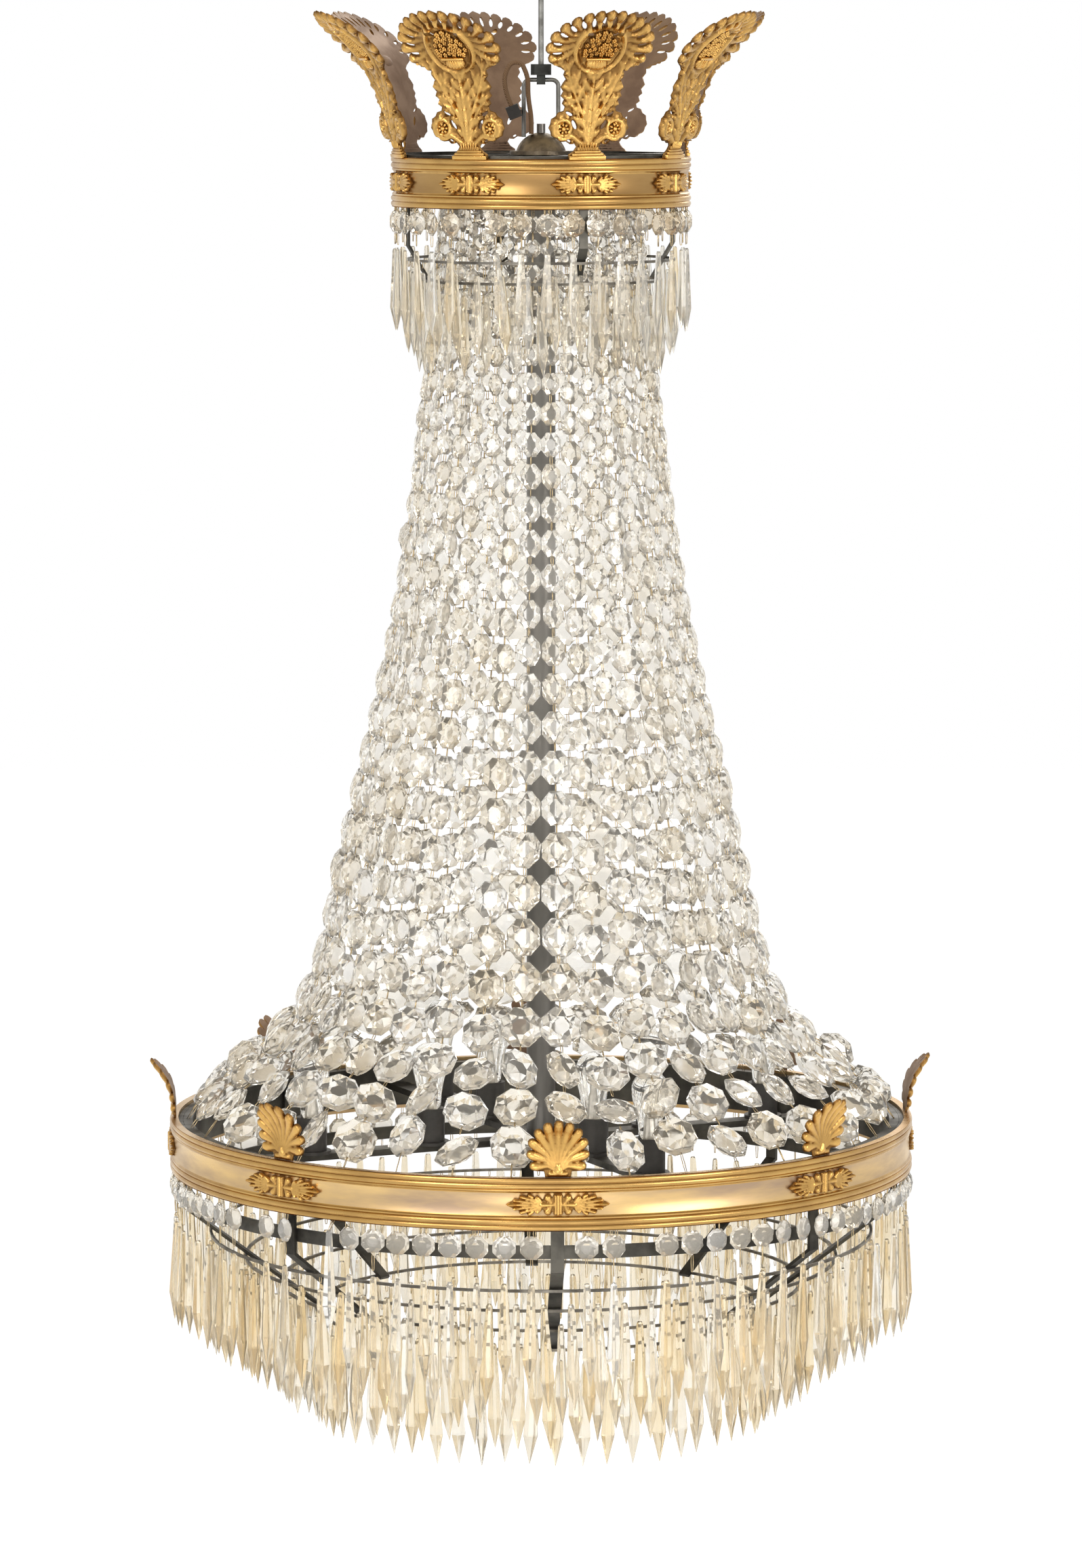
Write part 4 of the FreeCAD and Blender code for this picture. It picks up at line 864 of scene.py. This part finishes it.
def cut_solid(bm, name, flat):
    """Close the circles of a cut crystal into one faceted solid."""
    bmesh.ops.convex_hull(bm, input=bm.verts[:] + bm.edges[:])
    bmesh.ops.dissolve_limit(bm, angle_limit=radians(flat), verts=bm.verts[:], edges=bm.edges[:])
    bmesh.ops.recalc_face_normals(bm, faces=bm.faces)
    return kept_mesh(bm, name)


def cut_octagon():
    """An octagon crystal of width, height and thickness 1, with its table towards the front."""
    bm = bmesh.new()
    eighth = cos(pi / 8)
    star_in = STAR * eighth
    star_depth = 1.0 - (star_in - TABLE) / (1.0 - TABLE) * (1.0 - GIRDLE)
    for face in (-1, 1):
        for share, depth, turn in ((TABLE, 1.0, 22.5), (STAR, star_depth, 0.0), (1.0, GIRDLE, 22.5)):
            place = Matrix.Translation((0, face * depth / 2, 0)) @ Matrix.Rotation(pi / 2, 4, "X")
            bmesh.ops.create_circle(bm, segments=8, radius=0.5 * share / eighth,
                                    matrix=place @ Matrix.Rotation(radians(turn), 4, "Z"))
    return cut_solid(bm, "cut octagon", 1.5)


def solids_of(node):
    """The corners of each separate solid of a CAD piece, as lists of points."""
    bm = bmesh.new()
    bm.from_mesh(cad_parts[node].data)
    bmesh.ops.remove_doubles(bm, verts=bm.verts, dist=2e-6)
    waiting, solids = set(bm.verts), []
    for start in bm.verts:
        if start not in waiting:
            continue
        waiting.discard(start)
        group, edge = [], [start]
        while edge:
            vert = edge.pop()
            group.append(vert.co.copy())
            for link in vert.link_edges:
                other = link.other_vert(vert)
                if other in waiting:
                    waiting.discard(other)
                    edge.append(other)
        solids.append(group)
    bm.free()
    return solids


def seat_of(corners, upright):
    """The mean of a crystal's corners, its own axes as a rotation, and its size along them.
    On an octagon that mean is the middle. On a spear it is 7% of the length below the middle."""
    middle = sum(corners, Vector()) / len(corners)
    azimuth = atan2(middle.x, -middle.y)
    across = Vector((cos(azimuth), sin(azimuth), 0))
    outward = radial = Vector((sin(azimuth), -cos(azimuth), 0))
    up = Vector((0, 0, 1))
    if not upright:
        spread = [((point - middle).dot(outward), (point - middle).z) for point in corners]
        oo = sum(a * a for a, _ in spread)
        zz = sum(b * b for _, b in spread)
        oz = sum(a * b for a, b in spread)
        lean = 0.5 * atan2(2 * oz, oo - zz)
        axis = outward * cos(lean) + up * sin(lean)
        up = axis if axis.z > 0 else -axis
        outward = up.cross(across) * -1
        if outward.dot(radial) < 0:
            outward.negate()
    size = []
    for axis in (across, outward, up):
        reach = [(point - middle).dot(axis) for point in corners]
        size.append(max(reach) - min(reach))
    turn = Matrix((across, -outward, up)).transposed().to_4x4()
    return middle, turn, size


def hang(bm, cut, place, tint):
    """Add one crystal at its place and give it a tint of its own, from 0, clear, to 1, warm."""
    first = len(bm.verts)
    add_copy(bm, cut, place)
    layer = bm.verts.layers.float.get("tint") or bm.verts.layers.float.new("tint")
    bm.verts.ensure_lookup_table()
    for vert in bm.verts[first:]:
        vert[layer] = tint


def chance_turns(settle, spreads):
    """Chance turns about a crystal's own axes, whose spreads are in radians, in their order."""
    return [Matrix.Rotation(settle.gauss(0.0, spread), 4, axis) for axis, spread in spreads.items()]


def crystal(name, clear, warm, through, rough, dusty=0.10):
    """Cut lead crystal, a little dusty, whose colour goes by the tint that each piece carries."""
    made, add = new_material(name)
    tint = add("Attribute", attribute_name="tint")
    place = add("TexCoord")
    film = add("TexNoise", {"Vector": place.outputs["Object"], "Scale": 160.0, "Detail": 3.0})
    haze = add("MapRange", {0: film.outputs["Fac"], 1: 0.45, 2: 0.75, 3: rough, 4: rough + dusty})
    shade = add("MapRange", {0: film.outputs["Fac"], 1: 0.3, 2: 0.7, 3: -0.12, 4: 0.12})
    share = add("Math", {0: tint.outputs["Fac"], 1: shade.outputs[0]}, use_clamp=True)
    colour = add("MixRGB", {0: share.outputs[0], 1: clear + (1,), 2: warm + (1,)})
    glass = add("BsdfPrincipled", {"Base Color": colour.outputs[0], "Transmission Weight": through,
                                   "IOR": GLASS_IOR, "Roughness": haze.outputs[0]})
    add("OutputMaterial", {0: glass.outputs[0]})
    return made


octagon_glass = crystal("octagon crystal", (0.97, 0.955, 0.92), (0.88, 0.81, 0.68), 0.91, 0.015)
octagon_cut = cut_octagon()
for number in range(1, 5):
    node = f"tent_strands_{number}"
    settle = random.Random(number)
    bm = bmesh.new()
    for corners in solids_of(node):
        middle, turn, size = seat_of(corners, upright=False)
        room = min(max((hypot(middle.x, middle.y) - STEEP_R) / (FLAT_R - STEEP_R), 0.0), 1.0)
        spreads = {axis: steep + more * room for axis, (steep, more) in TENT_TURNS.items()}
        sway, nod, roll = chance_turns(settle, spreads)
        grow = settle.uniform(0.98, 1.07) + 0.07 * room
        shape = Matrix.Diagonal((size[0] * grow, size[1], size[2] * min(grow, 1.02), 1.0))
        place = Matrix.Translation(middle) @ turn @ sway @ nod @ roll @ shape
        hang(bm, octagon_cut, place, settle.betavariate(*TENT_TINTS))
    finish_piece(bm, f"strands_{number}", [octagon_glass], node)

# ------ wire links
# Every crystal hangs on bent brass wire: an oblong link closed through the holes of two
# octagons, or a hook from an octagon or a hoop down to a spear.

LINK_WIRE = 0.00042
LINK_HALF_WIDTH = 0.0011
LINK_GRIP = 0.0016


def wire_link(length):
    """An oblong wire link whose ends grip the crystals above and below it."""
    bm = bmesh.new()
    section = bmesh.ops.create_circle(bm, segments=4, radius=LINK_WIRE,
                                      matrix=Matrix.Translation((LINK_HALF_WIDTH, 0, 0)))
    edges = list({edge for vert in section["verts"] for edge in vert.link_edges})
    bmesh.ops.spin(bm, geom=section["verts"] + edges, cent=(0, 0, 0), axis=(0, 1, 0),
                   angle=tau, steps=8, use_merge=True)
    bmesh.ops.remove_doubles(bm, verts=bm.verts, dist=1e-6)
    bmesh.ops.recalc_face_normals(bm, faces=bm.faces)
    stretch = length / 2 + LINK_GRIP - LINK_HALF_WIDTH
    for vert in bm.verts:
        vert.co.z += stretch * (1 if vert.co.z > 1e-5 else -1 if vert.co.z < -1e-5 else 0)
    for face in bm.faces:
        face.smooth = True
    return kept_mesh(bm, "wire link")


def ends_of(corners):
    """The top and the foot of a CAD pin, whose corners lie in its two ends."""
    ranked = sorted(corners, key=lambda point: -point.z)
    half = len(ranked) // 2
    return sum(ranked[:half], Vector()) / half, sum(ranked[half:], Vector()) / (len(ranked) - half)


def hang_links(bm, pins, seed):
    """Add a wire link in the place of each CAD pin, turned a little at random."""
    twist = random.Random(seed)
    links = {}
    for corners in pins:
        top, foot = ends_of(corners)
        length = round((top - foot).length, 4)
        if length not in links:
            links[length] = wire_link(length)
        turn = (top - foot).to_track_quat("Z", "Y").to_matrix().to_4x4()
        place = Matrix.Translation((top + foot) / 2) @ turn @ Matrix.Rotation(twist.uniform(0, 3), 4, "Z")
        add_copy(bm, links[length], place)


link_brass = metal("link wire", (0.72, 0.58, 0.36), (0.42, 0.32, 0.18), (0.25, 0.4), 200.0, bump=0.0)
for number, node in enumerate(("tent_pins_1", "tent_pins_2", "upper_pins", "lower_garland_pins",
                               "lower_hooks", "lower_garland_wires")):
    bm = bmesh.new()
    hang_links(bm, solids_of(node), 20 + number)
    finish_piece(bm, "links_" + node, [link_brass], node)

# ------ garlands
# One row of small octagons hangs under each band, on pairs of wires, and carries the outer
# spears. They are the tent's crystal in a smaller size, cut rounder.

GARLAND_TURNS = {"Z": 0.22, "Y": 0.06}
GARLAND_TINTS = (1.6, 2.4)

smoky_glass = crystal("smoky crystal", (0.93, 0.89, 0.81), (0.74, 0.61, 0.42), 0.90, 0.015)
pale_glass = crystal("pale crystal", (1.0, 0.985, 0.95), (0.95, 0.88, 0.74), 0.80, 0.02)
for node, glass in (("upper_garland", smoky_glass), ("lower_garland", pale_glass)):
    settle = random.Random(node)
    bm = bmesh.new()
    for corners in solids_of(node):
        middle, turn, size = seat_of(corners, upright=True)
        sway, roll = chance_turns(settle, GARLAND_TURNS)
        place = Matrix.Translation(middle) @ turn @ sway @ roll @ Matrix.Diagonal((*size, 1.0))
        hang(bm, octagon_cut, place, settle.betavariate(*GARLAND_TINTS))
    finish_piece(bm, node + "_octagons", [glass], node)

# ------ spear prisms
# The fringes are long six-sided prisms, narrow at the top, widest low down and cut to a point.
# Most are faintly amber, some are clear, and each has turned on its hook and hangs a bit askew.

SPEAR_RINGS = ((0.28, 0.0), (0.45, 0.022), (1.0, 0.72), (0.045, 1.0))  # share of width, way down
SPEAR_TURNS = {"Z": 0.5, "X": 0.016, "Y": 0.026}
SPEAR_LENGTHS = (0.94, 1.015)


def cut_spear():
    """A spear prism of width, thickness and length 1, centred on its own middle."""
    bm = bmesh.new()
    for share, level in SPEAR_RINGS:
        bmesh.ops.create_circle(bm, segments=6, radius=0.5 * share,
                                matrix=Matrix.Translation((0, 0, 0.5 - level)))
    bmesh.ops.scale(bm, verts=bm.verts, vec=(1.0, 1.0 / cos(pi / 6), 1.0))
    return cut_solid(bm, "cut spear", 0.5)


spear_glass = crystal("spear crystal", (1.0, 0.99, 0.96), (0.97, 0.835, 0.585), 0.84, 0.02, 0.08)
spear_cut = cut_spear()
MOSTLY_CLEAR = (1.2, 2.4)
MOSTLY_AMBER = (2.0, 1.5)
fringes = [(f"upper_spears_{tier}", MOSTLY_CLEAR) for tier in range(1, 4)]
fringes += [(f"lower_spears_{tier}", MOSTLY_AMBER) for tier in range(1, 6)]
for node, tints in fringes:
    settle = random.Random(node)
    bm = bmesh.new()
    for corners in solids_of(node):
        middle, turn, size = seat_of(corners, upright=True)
        long = size[2] * settle.uniform(*SPEAR_LENGTHS)
        to_top = Matrix.Translation((0, 0, size[2] / 2))
        from_top = Matrix.Translation((0, 0, -long / 2))
        sway, nod, roll = chance_turns(settle, SPEAR_TURNS)
        shape = Matrix.Diagonal((size[0], size[1], long, 1.0))
        place = Matrix.Translation(middle) @ turn @ to_top @ roll @ nod @ sway @ from_top @ shape
        hang(bm, spear_cut, place, settle.betavariate(*tints))
    finish_piece(bm, node.replace("spears", "prisms"), [spear_glass], node)

# The askew spear and the one that swings freely are clear ones, out of another set.

corners = solids_of("leaning_spear")[0]
ranked = sorted(corners, key=lambda point: point.z)
tip, top = sum(ranked[:4], Vector()) / 4, sum(ranked[-6:], Vector()) / 6
lean = (top - tip).to_track_quat("Z", "Y").to_matrix().to_4x4()
size = seat_of(solids_of("lower_spears_1")[0], upright=True)[2]
bm = bmesh.new()
hang(bm, spear_cut, Matrix.Translation((top + tip) / 2) @ lean @ Matrix.Diagonal((*size, 1.0)), 0.0)
finish_piece(bm, "askew_prism", [spear_glass], "leaning_spear")

bm = bmesh.new()
loose = sorted(solids_of("loose_pendant"), key=lambda corners: max(point.z for point in corners))
middle, turn, size = seat_of(loose[0], upright=True)
hang(bm, spear_cut, Matrix.Translation(middle) @ turn @ Matrix.Diagonal((*size, 1.0)), 0.0)
crystals = len(bm.faces)
hang_links(bm, [loose[1]], 40)
bm.faces.ensure_lookup_table()
for face in bm.faces[crystals:]:
    face.material_index = 1
finish_piece(bm, "loose_prism", [spear_glass, link_brass], "loose_pendant",
             body="loose_spear")

# ------ hoops
# The inner tiers hang from thin steel hoops under the strips of the frame.

hoop_steel = metal("hoop wire", (0.20, 0.185, 0.16), (0.09, 0.082, 0.07), (0.3, 0.45), 60.0, bump=0.0)
dress(hoop_steel, "upper_hoops", "lower_hoops")

# ------ lamps
# Eight black lampholders stand on the lower arms, each with a clear bulb.

BULB_NECK = 0.62
STEM_FOOT = 0.28  # radii of the stem inside, as shares of the bulb's
STEM_TOP = 0.10
STEM_LENGTH = 0.5  # these are shares of the bulb's length
STEM_MIDDLE = 0.26


def bulb_outline(radius, length):
    """A pear bulb's half section from its cap to its crown, as (radius, height) points."""
    belly = length - radius
    points = []
    for step in range(8):
        share = step / 7
        swell = BULB_NECK + (1 - BULB_NECK) * (0.5 - 0.5 * cos(pi * share ** 1.25))
        points.append((radius * swell, belly * share))
    for step in range(1, 8):
        turn = pi / 2 * step / 7
        points.append((radius * cos(turn), belly + radius * sin(turn)))
    return points


bulb_clear = crystal("bulb glass", (0.97, 0.97, 0.96), (0.93, 0.92, 0.90), 0.94, 0.01, 0.02)
filament = metal("bulb stem", (0.75, 0.72, 0.66), (0.5, 0.48, 0.44), (0.3, 0.5), 100.0, bump=0.0)
bm = bmesh.new()
for corners in solids_of("bulbs"):
    low = Vector(min(point[axis] for point in corners) for axis in range(3))
    high = Vector(max(point[axis] for point in corners) for axis in range(3))
    middle, radius = (low + high) / 2, (high.x - low.x) / 2
    foot = Matrix.Translation((middle.x, middle.y, low.z))
    section = [bm.verts.new((out, 0, up)) for out, up in bulb_outline(radius, high.z - low.z)]
    edges = [bm.edges.new(pair) for pair in zip(section, section[1:])]
    bmesh.ops.spin(bm, geom=section + edges, cent=(0, 0, 0), axis=(0, 0, 1), angle=tau,
                   steps=20, use_merge=True)
    glass = [face for face in bm.faces if face.material_index == 0 and not face.tag]
    shell = {vert for face in glass for vert in face.verts}
    bmesh.ops.transform(bm, matrix=foot, verts=list(shell))
    for face in glass:
        face.tag = face.smooth = True
    tall = high.z - low.z
    stem = bmesh.ops.create_cone(bm, cap_ends=True, segments=8, radius1=radius * STEM_FOOT,
                                 radius2=radius * STEM_TOP, depth=tall * STEM_LENGTH,
                                 matrix=foot @ Matrix.Translation((0, 0, tall * STEM_MIDDLE)))
    for face in {face for vert in stem["verts"] for face in vert.link_faces}:
        face.tag, face.material_index = True, 1
bmesh.ops.remove_doubles(bm, verts=bm.verts, dist=1e-6)
bmesh.ops.holes_fill(bm, edges=bm.edges[:], sides=24)
bmesh.ops.recalc_face_normals(bm, faces=bm.faces)
finish_piece(bm, "lamp_bulbs", [bulb_clear, filament], "bulbs")
dress(moulding, "lampholders")
